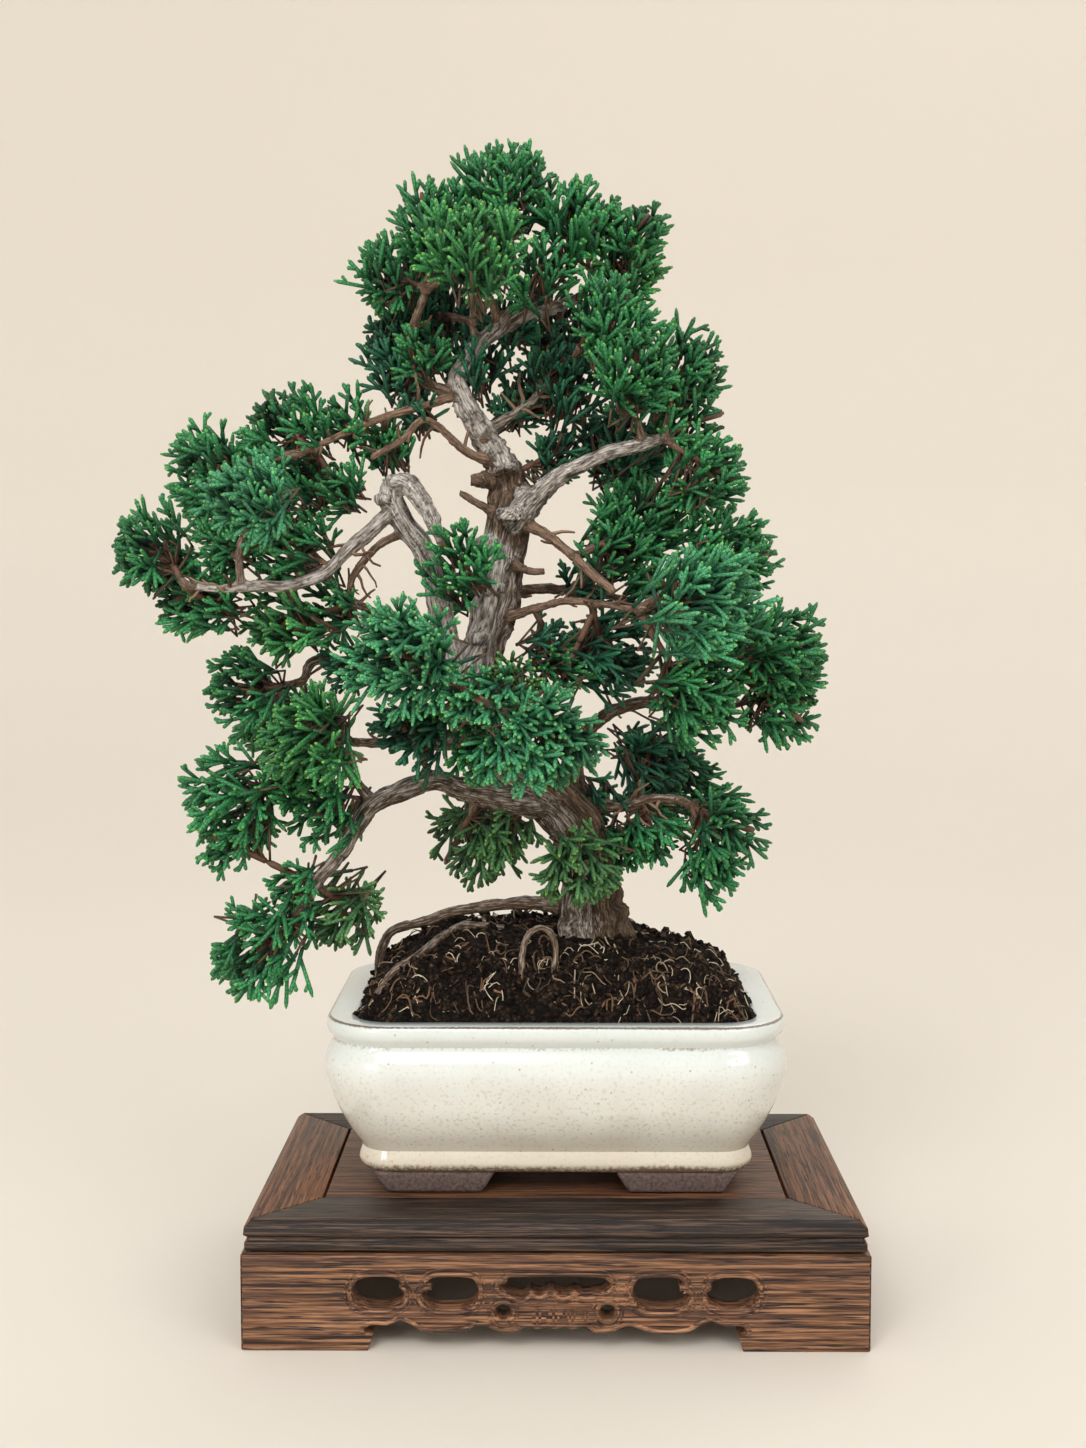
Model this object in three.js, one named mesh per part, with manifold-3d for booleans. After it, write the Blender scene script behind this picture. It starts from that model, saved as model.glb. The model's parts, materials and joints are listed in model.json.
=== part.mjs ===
// Kishu juniper bonsai in a glazed rectangular pot, on a carved wooden stand.
// Millimetres, +Z up, X along the pot, -Y is the front.
// Every piece is drawn round the middle of the stand's underside, and the last lines move the whole
// tree so that the origin is the middle of its outer box, at the surface that the stand rests on.
import * as THREE from "three";
import { mergeVertices } from "three/addons/utils/BufferGeometryUtils.js";
import Module from "manifold-3d";

const wasm = await Module();
wasm.setup();

// Driving dimensions of the stand
const STAND_LENGTH = 197;
const STAND_DEPTH = 120;
const STAND_HEIGHT = 41.3;
const TOP_THICKNESS = 10;
const TOP_SET_BACK = 0.8;
const RAIL_WIDTH = 22;
const LEDGE_WIDTH = 5;
const PANEL_THICKNESS = 6.1;
const PANEL_END_GAP = 1;
const APRON_THICKNESS = 8;

// Driving dimensions of the pot, with heights above the stand's top
const POT_LENGTH = 150;
const POT_DEPTH = 106;
const POT_CORNER = 22;
const POT_SHIFT_Y = 7.1;
const POT_FOOT_HEIGHT = 6.5;
const POT_FLOOR = 11;
const POT_RIM = 57.7;
const FOOT_LENGTH = 38;
const FOOT_DEPTH = 20;
const FOOT_SINK = 1.5;
const FOOT_SLOPE_X = 5;
const FOOT_SLOPE_Y = 1.5;
const FOOT_X = 39;
const FOOT_Y = 29;
const DRAIN_RADIUS = 5.5;
const DRAIN_X = 34;
const SCREEN_SIZE = 18;
const SCREEN_THICKNESS = 0.8;
const SCREEN_BAR = 2.4;

// Driving dimensions of the soil mound
const SOIL_EDGE = 54.7;
const MOUND_SHOULDER = 18;
const MOUND_DOME = 8;
const MOUND_CENTRE_X = 0;
const MOUND_CENTRE_Y = 12;
const SOIL_LUMP = 0.9;

// Driving dimensions of the foliage: a cord is one scale-clad shoot
const CORD_RADIUS = 1.35;
const CORD_LENGTH = 10;
const SHORTEST_CORD = 3.5;
const SHORTEST_FORK = 8;
// A shoot that meets something is tried again at these shares of its length
const SHOOT_SHARES = [1, 0.82, 0.66, 0.52];
const SHOOT_LEAN = 0.12;
const SHOOT_WOBBLE = 0.1;
const SHOOT_REACH = 1.1;
// A pad's middle is looked for a little farther out at each attempt
const SEAT_ATTEMPTS = 300;
const SEAT_STEP = 0.04;
// Shares of a shoot's length between which its side cords grow
const SHOOT_LOW_RING = 0.26;
const SHOOT_HIGH_RING = 0.5;
const STEM_RADIUS = 1.7;
const STEM_BANDS = 6;
// Shares of a pad's radius: how far back its stem starts, and the stem's whole length
const STEM_BACK = 0.85;
const STEM_LENGTH = 1.5;
const SIBLING_START = 0.4;
// How far shoots lean along what they grow from: low and high on a stem, and cords on a shoot
const LOW_FORWARD = 0.12;
const HIGH_FORWARD = 0.5;
const CORD_FORWARD = 0.45;
const TWIG_RADIUS = 1.7;

const GAP = 0.3;
const STAND_TOP = STAND_HEIGHT;
const POT_BOTTOM = STAND_TOP + GAP;

const WOOD_BROWN = new THREE.MeshStandardMaterial({ color: 0x4a2418, roughness: 0.5, metalness: 0 });
const TOP_BROWN = new THREE.MeshStandardMaterial({ color: 0x3a2017, roughness: 0.55, metalness: 0 });
const GLAZE = new THREE.MeshStandardMaterial({ color: 0xd8ceb6, roughness: 0.25, metalness: 0 });
const SOIL_BLACK = new THREE.MeshStandardMaterial({ color: 0x2c211b, roughness: 1, metalness: 0 });
const BARK = new THREE.MeshStandardMaterial({ color: 0x7d6a58, roughness: 0.9, metalness: 0 });
const SCREEN_BLACK = new THREE.MeshStandardMaterial({ color: 0x1c1c1c, roughness: 0.6, metalness: 0 });
const LEAF_COLOURS = { blue: 0x4f8a78, green: 0x4c7a4a, dark: 0x35573a, bright: 0x7fa054, olive: 0x6d7a45 };

// Seeded draws, so that the tree grows the same way each time
let drawState = 20918;
function draw() {
  drawState = (drawState * 1664525 + 1013904223) % 4294967296;
  return drawState / 4294967296;
}

function drawBetween(low, high) {
  return low + (high - low) * draw();
}

// Joining and cutting

function solidOf(geometry) {
  const bare = geometry.clone();
  bare.deleteAttribute("normal");
  bare.deleteAttribute("uv");
  const merged = mergeVertices(bare, 1e-4);
  const vertProperties = new Float32Array(merged.attributes.position.array);
  const triVerts = new Uint32Array(merged.index.array);
  return new wasm.Manifold(new wasm.Mesh({ numProp: 3, vertProperties, triVerts }));
}

function geometryOf(solid) {
  const pieces = solid.decompose();
  const whole = pieces.reduce((big, piece) => (piece.volume() > big.volume() ? piece : big));
  const mesh = whole.getMesh();
  const geometry = new THREE.BufferGeometry();
  geometry.setAttribute("position", new THREE.Float32BufferAttribute(mesh.vertProperties, 3));
  geometry.setIndex(new THREE.Uint32BufferAttribute(mesh.triVerts, 1));
  geometry.computeVertexNormals();
  return geometry;
}

function blockOf(lengthX, depthY, heightZ, x, y, z) {
  return new THREE.BoxGeometry(lengthX, depthY, heightZ).translate(x, y, z + heightZ / 2);
}

// A closed body of stacked rings: place(ring, angle) gives each point, and the first and last rings
// are single points on the axis
function ringBody(ringCount, segments, place) {
  const profile = Array.from({ length: ringCount }, (_, ring) => new THREE.Vector2(1, ring));
  const body = new THREE.LatheGeometry(profile, segments);
  const positions = body.attributes.position;
  for (let segment = 0; segment <= segments; segment++) {
    const angle = ((segment % segments) + 0.5) * (2 * Math.PI / segments);
    for (let ring = 0; ring < ringCount; ring++) {
      const point = place(ring, angle);
      positions.setXYZ(segment * ringCount + ring, point.x, point.y, point.z);
    }
  }
  return withoutFlatFaces(body);
}

// Drops the triangles that closed up where a ring became a point
function withoutFlatFaces(geometry) {
  const bare = geometry.clone();
  bare.deleteAttribute("normal");
  bare.deleteAttribute("uv");
  const merged = mergeVertices(bare, 1e-4);
  const kept = [];
  const index = merged.index.array;
  for (let i = 0; i < index.length; i += 3) {
    const [a, b, c] = [index[i], index[i + 1], index[i + 2]];
    if (a !== b && b !== c && c !== a) {
      kept.push(a, b, c);
    }
  }
  merged.setIndex(kept);
  return merged;
}

// A point of the pot's rounded rectangle, pulled in by inset
function potOutline(inset, angle, height) {
  const cosine = Math.cos(angle);
  const sine = Math.sin(angle);
  const bend = POT_CORNER - inset;
  const x = Math.sign(cosine) * (POT_LENGTH / 2 - POT_CORNER) + bend * cosine;
  const y = Math.sign(sine) * (POT_DEPTH / 2 - POT_CORNER) + bend * sine;
  return new THREE.Vector3(x, y + POT_SHIFT_Y, POT_BOTTOM + height);
}

// Stand: four mitred rails round a panel, over four mitred aprons

function mitredRail(reach, offset) {
  const low = -TOP_THICKNESS;
  const ledgeTop = -PANEL_THICKNESS - GAP;
  const section = new THREE.Shape([
    new THREE.Vector2(2.6, 0), new THREE.Vector2(0.3, -2.1), new THREE.Vector2(0, -4.8),
    new THREE.Vector2(1.2, -5.6), new THREE.Vector2(1.2, -6.4), new THREE.Vector2(0.3, -7.1),
    new THREE.Vector2(0.3, -9.5), new THREE.Vector2(0.9, low),
    new THREE.Vector2(RAIL_WIDTH + LEDGE_WIDTH, low), new THREE.Vector2(RAIL_WIDTH + LEDGE_WIDTH, ledgeTop),
    new THREE.Vector2(RAIL_WIDTH, ledgeTop), new THREE.Vector2(RAIL_WIDTH, 0),
  ]);
  const rail = new THREE.ExtrudeGeometry(section, { depth: 2, bevelEnabled: false }).translate(0, 0, -1);
  const positions = rail.attributes.position;
  for (let i = 0; i < positions.count; i++) {
    const inward = positions.getX(i);
    const height = positions.getY(i);
    const end = Math.sign(positions.getZ(i)) * (reach - inward - GAP);
    positions.setXYZ(i, end, inward - offset, STAND_TOP + height);
  }
  return rail;
}

function mirrored(points) {
  return points.map(([x, z]) => [-x, z]).reverse();
}

function pathOf(points) {
  return new THREE.Path(points.map(([x, z]) => new THREE.Vector2(x, z)));
}

function roundHole(x, z, radius) {
  const corners = 8;
  return Array.from({ length: corners }, (_, i) => {
    const angle = (i + 0.5) * (2 * Math.PI / corners);
    return [x + radius * Math.cos(angle), z + radius * Math.sin(angle)];
  });
}

// lowerEdge runs from the middle to the end of the apron, and pairedHoles are cut on both sides
function apron(length, offset, lowerEdge, pairedHoles, middleHole) {
  const end = length / 2 - GAP;
  const top = STAND_HEIGHT - TOP_THICKNESS - GAP;
  const rightHalf = [...lowerEdge, [end, 0], [end, top]];
  const outline = [...rightHalf, ...mirrored(rightHalf)];
  const shape = new THREE.Shape(outline.map(([x, z]) => new THREE.Vector2(x, z)));
  shape.holes.push(pathOf(middleHole));
  for (const hole of pairedHoles) {
    shape.holes.push(pathOf(hole), pathOf(mirrored(hole)));
  }
  const board = new THREE.ExtrudeGeometry(shape, { depth: APRON_THICKNESS, bevelEnabled: false });
  board.rotateX(Math.PI / 2);
  const positions = board.attributes.position;
  for (let i = 0; i < positions.count; i++) {
    const x = positions.getX(i);
    const inward = APRON_THICKNESS + positions.getY(i);
    if (Math.abs(x) > end - 0.01) {
      positions.setX(i, Math.sign(x) * (end - inward));
    }
    positions.setY(i, inward - offset);
  }
  return board;
}

const LONG_LOWER_EDGE = [
  [10.4, 7.4], [12.4, 5.8], [17.6, 6.1], [23.5, 8.1], [29.5, 6.1], [40.6, 6.1], [45.3, 8.1],
  [48.5, 9.7], [53.1, 8.1], [59.7, 7.4], [57.1, 5.1], [58.7, 0],
];
const LONG_OVAL = [
  [48.6, 15.2], [52, 14], [58.6, 14], [62.2, 15.4], [63.4, 18.8], [62, 22.2], [58.8, 23.5],
  [51.8, 23.5], [48.4, 22], [47.2, 18.6],
];
const LONG_KIDNEY = [
  [25.6, 15], [28.6, 13.7], [37.8, 13.7], [40.8, 15.2], [41.7, 18], [39.4, 20.2], [40.6, 22.4],
  [38, 23.5], [28, 23.5], [25.2, 22.2], [24.2, 18.6],
];
const LONG_MIDDLE = [
  [-17.5, 20.6], [-15, 18], [-9, 17.2], [-5, 18.7], [0, 17.3], [5, 18.7], [9, 17.2], [15, 18],
  [17.5, 20.6], [15, 23.5], [-15, 23.5],
];
const SHORT_LOWER_EDGE = [
  [9, 7.4], [12, 6], [20, 6.2], [24, 8.2], [28, 9.6], [32.4, 8.1], [37.6, 7.4], [35.4, 5.1], [37, 0],
];
const SHORT_OVAL = [
  [22, 15.2], [25, 14], [32, 14], [35.4, 15.4], [36.5, 18.8], [35.2, 22.2], [32, 23.5],
  [25, 23.5], [22, 22], [20.8, 18.6],
];
const SHORT_MIDDLE = [
  [-12.5, 20.6], [-10.5, 18], [-6, 17.2], [0, 18.6], [6, 17.2], [10.5, 18], [12.5, 20.6],
  [10.5, 23.5], [-10.5, 23.5],
];

function standPieces() {
  const reachX = STAND_LENGTH / 2 - TOP_SET_BACK;
  const reachY = STAND_DEPTH / 2 - TOP_SET_BACK;
  const longHoles = [LONG_OVAL, LONG_KIDNEY, roundHole(16.3, 12.7, 2.3)];
  const shortHoles = [SHORT_OVAL, roundHole(12, 12.4, 2)];
  const long = apron(STAND_LENGTH, STAND_DEPTH / 2, LONG_LOWER_EDGE, longHoles, LONG_MIDDLE);
  const short = apron(STAND_DEPTH, STAND_LENGTH / 2, SHORT_LOWER_EDGE, shortHoles, SHORT_MIDDLE);
  const panelLength = 2 * (reachX - RAIL_WIDTH - PANEL_END_GAP);
  const panelDepth = 2 * (reachY - RAIL_WIDTH - GAP);
  const panelLow = STAND_TOP - PANEL_THICKNESS;
  return [
    ["stand_rail_front", mitredRail(reachX, reachY), TOP_BROWN, 0],
    ["stand_rail_back", mitredRail(reachX, reachY), TOP_BROWN, 2],
    ["stand_rail_right", mitredRail(reachY, reachX), TOP_BROWN, 1],
    ["stand_rail_left", mitredRail(reachY, reachX), TOP_BROWN, 3],
    ["stand_panel", blockOf(panelLength, panelDepth, PANEL_THICKNESS, 0, 0, panelLow), TOP_BROWN, 0],
    ["stand_apron_front", long, WOOD_BROWN, 0],
    ["stand_apron_back", long, WOOD_BROWN, 2],
    ["stand_apron_right", short, WOOD_BROWN, 1],
    ["stand_apron_left", short, WOOD_BROWN, 3],
  ];
}

// Pot: each pair is a height above the stand and how far the wall is pulled in from the rim's edge
const POT_OUTSIDE = [
  [POT_FOOT_HEIGHT, 14], [7.5, 11.5], [9, 10.2], [12, 10.6], [14, 11.4], [19, 8], [26, 4], [34, 0.8],
  [42, -1], [48, 0.2], [51.8, 2], [53.2, 2], [54.2, 0.3], [56.8, 0], [POT_RIM, 1],
];
const POT_INSIDE = [[POT_FLOOR, 20], [18, 14], [30, 9], [POT_RIM + 1, 8.5]];
const POT_SEGMENTS = 24;

function profileBody(profile) {
  const last = profile.length + 1;
  return ringBody(profile.length + 2, POT_SEGMENTS, (ring, angle) => {
    if (ring === 0 || ring === last) {
      const height = profile[ring === 0 ? 0 : profile.length - 1][0];
      return new THREE.Vector3(0, POT_SHIFT_Y, POT_BOTTOM + height);
    }
    const [height, inset] = profile[ring - 1];
    return potOutline(inset, angle, height);
  });
}

// A foot is a block whose ends slope in towards the ground, sunk into the pot's underside
function potFoot(sideX, sideY) {
  const height = POT_FOOT_HEIGHT + FOOT_SINK;
  const foot = new THREE.BoxGeometry(FOOT_LENGTH, FOOT_DEPTH, height);
  const positions = foot.attributes.position;
  for (let i = 0; i < positions.count; i++) {
    const [x, y] = [positions.getX(i), positions.getY(i)];
    if (positions.getZ(i) < 0) {
      positions.setX(i, x - Math.sign(x) * FOOT_SLOPE_X);
      positions.setY(i, y - Math.sign(y) * FOOT_SLOPE_Y);
    }
  }
  foot.translate(sideX * FOOT_X, POT_SHIFT_Y + sideY * FOOT_Y, POT_BOTTOM + height / 2);
  return solidOf(foot);
}

function potSolid() {
  let pot = solidOf(profileBody(POT_OUTSIDE)).subtract(solidOf(profileBody(POT_INSIDE)));
  for (const side of [-1, 1]) {
    const drain = new THREE.CylinderGeometry(DRAIN_RADIUS, DRAIN_RADIUS, 20, 12).rotateX(Math.PI / 2);
    drain.translate(side * DRAIN_X, POT_SHIFT_Y, POT_BOTTOM + POT_FLOOR);
    pot = pot.subtract(solidOf(drain));
    pot = pot.add(potFoot(side, -1)).add(potFoot(side, 1));
  }
  return pot;
}

// A square of plastic net over each drain hole, with its meshes drawn as four openings
function drainScreen(side) {
  const low = POT_BOTTOM + POT_FLOOR + GAP;
  const middleX = side * DRAIN_X;
  let screen = solidOf(blockOf(SCREEN_SIZE, SCREEN_SIZE, SCREEN_THICKNESS, middleX, POT_SHIFT_Y, low));
  const opening = SCREEN_SIZE / 2 - SCREEN_BAR;
  for (const [u, v] of [[-1, -1], [1, -1], [1, 1], [-1, 1]]) {
    const x = middleX + u * SCREEN_SIZE / 4;
    const y = POT_SHIFT_Y + v * SCREEN_SIZE / 4;
    screen = screen.subtract(solidOf(blockOf(opening, opening, 3, x, y, low - 1)));
  }
  return screen;
}

// Wood: each limb is a route of [x, y, z, radius]
const TRUNK = [
  [14, 8, 103, 15], [13, 7, 117, 13.4], [12, 7, 129, 10.2], [11, 7, 143, 9.2], [8, 6, 157, 8.8],
  [-4, 4, 170, 8.6], [-19, 2, 179, 8.6], [-28, 0, 192, 8.2], [-28, 0, 206, 7.5], [-25, 1, 219, 6.9],
  [-21, 3, 234, 6.9], [-19, 5, 248, 7.2], [-17, 7, 261, 7.6], [-16, 9, 273, 6.9], [-20, 9, 283, 6.2],
  [-26, 6, 293, 4.9], [-31, 4, 302, 4.1], [-33, 4, 308, 3.5], [-30, 5, 314, 3.2], [-26, 7, 320, 3.1],
  [-20, 10, 326, 3.3], [-12, 12, 330, 3], [-3, 14, 333, 2.4], [7, 16, 337, 1.8],
];
const HEAVY_LIMBS = [
  [[-28, 0, 199, 5], [-36, -3, 218, 4.5], [-39, -6, 234, 4.1], [-43, -9, 249, 3.7], [-49, -10, 258, 3.6],
    [-54, -11, 267, 3.6], [-54, -12, 274, 3.3]],
  [[-4, 3, 166, 6.2], [-19, -2, 168, 4.9], [-32, -6, 171, 3.9], [-40, -8, 174, 3.4], [-51, -10, 171, 3.3],
    [-61, -12, 166, 3.1], [-67, -14, 158, 2.8], [-71, -16, 151, 2.6], [-78, -18, 143, 2.3],
    [-83, -20, 134, 1.7]],
  [[-15, 4, 260, 5], [-8, -2, 267, 4], [1, -7, 275, 2.9], [9, -9, 279, 2.6], [18, -11, 283, 2.4],
    [28, -13, 285, 2.1], [35, -14, 287, 1.7]],
  [[10, 6, 158, 5], [6, 12, 180, 3.6], [13, 13, 191, 2.9], [23, 15, 197, 2.5], [35, 16, 199, 2.3],
    [54, 16, 195, 1.8]],
];
const LIGHT_LIMBS = [
  [[-54, -12, 273, 3.1], [-48, -14, 272, 3], [-42, -17, 264, 2.9], [-37, -20, 253, 1.6]],
  [[-53, -11, 265, 3.3], [-60, -12, 258, 3], [-68, -14, 251, 2.8], [-76, -17, 243, 2.6],
    [-87, -20, 239, 2.4], [-97, -22, 239, 2.3], [-108, -26, 238, 1.7], [-119, -28, 239, 1.4]],
  [[-102, -24, 240, 1.7], [-102, -26, 249, 1.6], [-100, -28, 256, 1.4]],
  [[-52, -10, 256, 1.8], [-60, -12, 251, 1.6], [-68, -10, 240, 1.4], [-67, -6, 230, 1.3]],
  [[-32, 4, 303, 2.6], [-45, 0, 308, 2.1], [-48, -4, 321, 1.9], [-42, -8, 337, 1.4]],
  [[-26, 7, 320, 1.8], [-28, 4, 326, 1.5], [-27, 2, 335, 1.3]],
  [[-20, 10, 326, 2.2], [-21, 6, 333, 1.8], [-27, 0, 342, 1.4]],
  [[-19, 10, 326, 2.7], [-16, 8, 330, 2.9], [-10, 8, 334, 2], [-5, 6, 339, 1.4]],
  [[-33, 4, 303, 2.2], [-41, 0, 300, 1.7], [-61, -8, 293, 1.5], [-84, -14, 282, 1.3]],
  [[-21, 7, 281, 2.4], [-30, 2, 284, 1.8], [-43, -4, 294, 1.5], [-51, -8, 287, 1.4], [-61, -10, 281, 1.3]],
  [[-14, 4, 261, 2.9], [-3, -4, 256, 2.1], [12, -16, 243, 1.8], [19, -22, 237, 1.6]],
  [[-21, 2, 227, 2.6], [-5, -4, 232, 1.7], [6, -10, 234, 1.5], [27, -20, 231, 1.4]],
  [[-24, 8, 291, 2.6], [-10, 8, 300, 1.7], [-4, 8, 306, 1.5], [3, 8, 311, 1.4]],
  [[-60, -12, 166, 2.5], [-68, -8, 175, 1.9], [-73, -6, 184, 1.6]],
  [[-28, 0, 203, 3.6], [-46, 4, 209, 2.5], [-63, 4, 211, 2.3], [-81, 0, 214, 2], [-85, -2, 207, 1.6]],
  [[-28, 0, 195, 3.6], [-26, -20, 201, 2.4], [-26, -38, 204, 1.8]],
  [[8, 6, 165, 4], [22, 4, 164, 2.5], [32, 0, 167, 2.1], [42, -4, 167, 1.7]],
  [[-19, 5, 263, 2.4], [-25, 0, 266, 1.6], [-32, -4, 270, 1.5]],
  [[-18, 4, 248, 2.4], [-9, -2, 244, 1.6], [-4, -4, 244, 1.5]],
  [[-24, 5, 289, 3], [-18, 18, 297, 2.2], [-6, 32, 303, 1.6]],
  [[-22, 4, 232, 3], [-8, 20, 238, 2.3], [18, 34, 236, 1.7], [34, 38, 230, 1.4]],
  [[-29, 2, 212, 3], [-44, 18, 222, 2.3], [-72, 28, 234, 1.8], [-88, 32, 250, 1.4]],
  [[-26, 2, 186, 3.4], [-44, 16, 184, 2.4], [-70, 26, 184, 1.8]],
  [[11, 9, 150, 3.4], [20, 24, 152, 2.2], [27, 34, 150, 1.6]],
];
const ROOTS = [
  [[12, 7, 116, 5], [7, 8, 127, 4.4], [-10, 10, 129.5, 2.8], [-34, 14, 126, 2.3], [-45, 16, 122, 2.2],
    [-56, 17, 119, 2], [-60.5, 16, 114, 1.9], [-62, 14, 106, 1.8], [-61, 11, 97, 1.7]],
  [[10, 6, 114, 4], [-12, 8, 119, 2.4], [-30, 8, 121.8, 2], [-37, 0, 120.6, 1.9], [-43, -13, 118, 1.8],
    [-48, -19, 115, 1.8], [-54, -21, 111.5, 1.7], [-59, -25, 104, 1.5]],
  [[10, 2, 108, 4], [-2, -10, 107, 2], [-10, -23, 109, 1.5], [-11, -25, 118, 1.4], [-9, -25, 125, 1.3],
    [-5, -25, 127.5, 1.3], [-1, -25, 125, 1.3], [0, -25, 118, 1.3], [-2, -25, 109, 1.3]],
];
const TRUNK_SIDES = 12;
const HEAVY_SIDES = 6;
const LIGHT_SIDES = 4;
const TRUNK_RIDGES = 0.11;
const TRUNK_TWIST = 9;

// A bent, tapered rod: a capped cylinder whose rings are moved onto the route
function limbGeometry(route, sides, grow, ridges) {
  const steps = route.length - 1;
  const rings = ringFrames(route);
  const limb = new THREE.CylinderGeometry(1, 1, 1, sides, steps);
  const positions = limb.attributes.position;
  for (let i = 0; i < positions.count; i++) {
    const ring = rings[Math.round((0.5 - positions.getY(i)) * steps)];
    const [across, up] = [positions.getX(i), positions.getZ(i)];
    const angle = Math.atan2(up, across);
    const ridge = 1 + ridges * Math.cos(3 * angle + TRUNK_TWIST * ring.along)
      + ridges * 0.5 * Math.cos(5 * angle - TRUNK_TWIST * ring.along);
    const point = ring.centre.clone();
    point.addScaledVector(ring.side, across * (ring.radius * ridge + grow));
    point.addScaledVector(ring.other, up * (ring.radius * ridge + grow));
    positions.setXYZ(i, point.x, point.y, point.z);
  }
  return limb;
}

function ringFrames(route) {
  const path = new THREE.CatmullRomCurve3(route.map(([x, y, z]) => new THREE.Vector3(x, y, z)));
  let side = new THREE.Vector3(1, 0, 0);
  return route.map(([, , , radius], i) => {
    const along = i / (route.length - 1);
    const tangent = path.getTangent(along);
    side = side.clone().addScaledVector(tangent, -side.dot(tangent));
    if (side.length() < 0.3) {
      side = new THREE.Vector3(0, 1, 0).addScaledVector(tangent, -tangent.y);
    }
    side.normalize();
    return { centre: path.getPoint(along), radius, along, side, other: tangent.clone().cross(side) };
  });
}

// Foliage pads: name, middle of the pad, its radius, how much its sprays rise, and its colour
const PADS = [
  ["apex", -17, -2, 367, 19, 1.2, "green"],
  ["crown_left_top", -41, -6, 358, 18, 0.6, "green"],
  ["crown_left", -50, 0, 341, 17, 0.2, "green"],
  ["crown_left_low", -49, 6, 323, 18, 0, "dark"],
  ["crown_front", -27, -24, 343, 20, 0.4, "bright"],
  ["crown_back", -26, 30, 360, 20, 0.6, "green"],
  ["crown_back_left", -43, 30, 335, 20, 0.2, "dark"],
  ["crown_right_top", 9, 0, 355, 18, 0.8, "green"],
  ["crown_right", 19, 6, 346, 18, 0.3, "bright"],
  ["crown_right_low", 14, -12, 327, 18, 0.1, "green"],
  ["crown_low_back", 1, 28, 331, 22, 0.2, "dark"],
  ["right_top", 41, -2, 312, 18, 0.4, "green"],
  ["right_inner", 22, -17, 307, 18, 0.2, "green"],
  ["right_tip", 46, 0, 294, 18, 0.3, "green"],
  ["right_tip_low", 50, -8, 279, 19, -0.1, "green"],
  ["right_back", 23, 30, 290, 23, 0.2, "dark"],
  ["mid_front", 43, -34, 234, 24, 0.1, "blue"],
  ["mid_top", 27, 4, 259, 20, 0.4, "green"],
  ["mid_right_up", 59, -2, 244, 19, 0.3, "green"],
  ["mid_right", 71, -8, 218, 20, 0, "green"],
  ["mid_right_low", 71, 4, 204, 19, -0.2, "green"],
  ["mid_low", 43, -20, 207, 22, -0.1, "green"],
  ["mid_inner", 15, -2, 221, 20, 0, "dark"],
  ["mid_back", 48, 38, 226, 25, 0.2, "green"],
  ["low_right", 50, -6, 163, 21, -0.5, "green"],
  ["low_right_in", 30, 12, 176, 20, -0.1, "dark"],
  ["low_right_back", 39, 34, 166, 22, -0.2, "green"],
  ["front_left", -46, -38, 217, 23, 0.1, "blue"],
  ["front_right", 1, -40, 190, 22, 0, "blue"],
  ["hanging", -35, 16, 150, 20, -0.7, "olive"],
  ["by_trunk", 6, -15, 147, 17, -0.6, "olive"],
  ["inner_low", -45, -14, 187, 18, 0, "dark"],
  ["left_top", -87, -6, 291, 18, 0.7, "green"],
  ["left_upper", -112, -8, 277, 19, 0.5, "green"],
  ["left_tip", -128, -14, 249, 19, 0.1, "green"],
  ["left_front", -97, -33, 260, 22, 0.2, "blue"],
  ["left_inner", -79, 2, 277, 18, 0.2, "green"],
  ["left_under", -122, -4, 235, 17, -0.2, "green"],
  ["left_back", -111, 33, 270, 24, 0.3, "green"],
  ["left_bright", -87, -12, 226, 15, 0.1, "bright"],
  ["lower_left_top", -101, 0, 204, 19, 0.2, "green"],
  ["lower_left", -101, -18, 171, 22, -0.1, "green"],
  ["lower_left_front", -76, -27, 189, 21, 0, "bright"],
  ["lower_left_back", -91, 28, 185, 23, 0.1, "green"],
  ["drooping", -95, -22, 120, 20, -0.8, "green"],
  ["drooping_right", -69, -6, 131, 17, -0.6, "olive"],
];

// Rods already grown: each is a straight tapered piece, and belongs to the wood or to one pad
const rods = [];
const WOOD_OWNER = -1;

function woodRod(from, to, radius, tipRadius) {
  const middle = from.clone().add(to).multiplyScalar(0.5);
  const reach = from.distanceTo(to) / 2 + Math.max(radius, tipRadius);
  const rod = { owner: WOOD_OWNER, from, to, radius, tipRadius, middle, reach };
  return { ...rod, family: null, parent: null, bearsTwigs: false };
}

function addRouteRods(route, bearsTwigs) {
  for (let i = 0; i + 1 < route.length; i++) {
    const from = new THREE.Vector3(...route[i].slice(0, 3));
    const to = new THREE.Vector3(...route[i + 1].slice(0, 3));
    const swell = route === TRUNK ? 1 + 1.5 * TRUNK_RIDGES : 1;
    rods.push({ ...woodRod(from, to, route[i][3] * swell, route[i + 1][3] * swell), bearsTwigs });
  }
}

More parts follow.
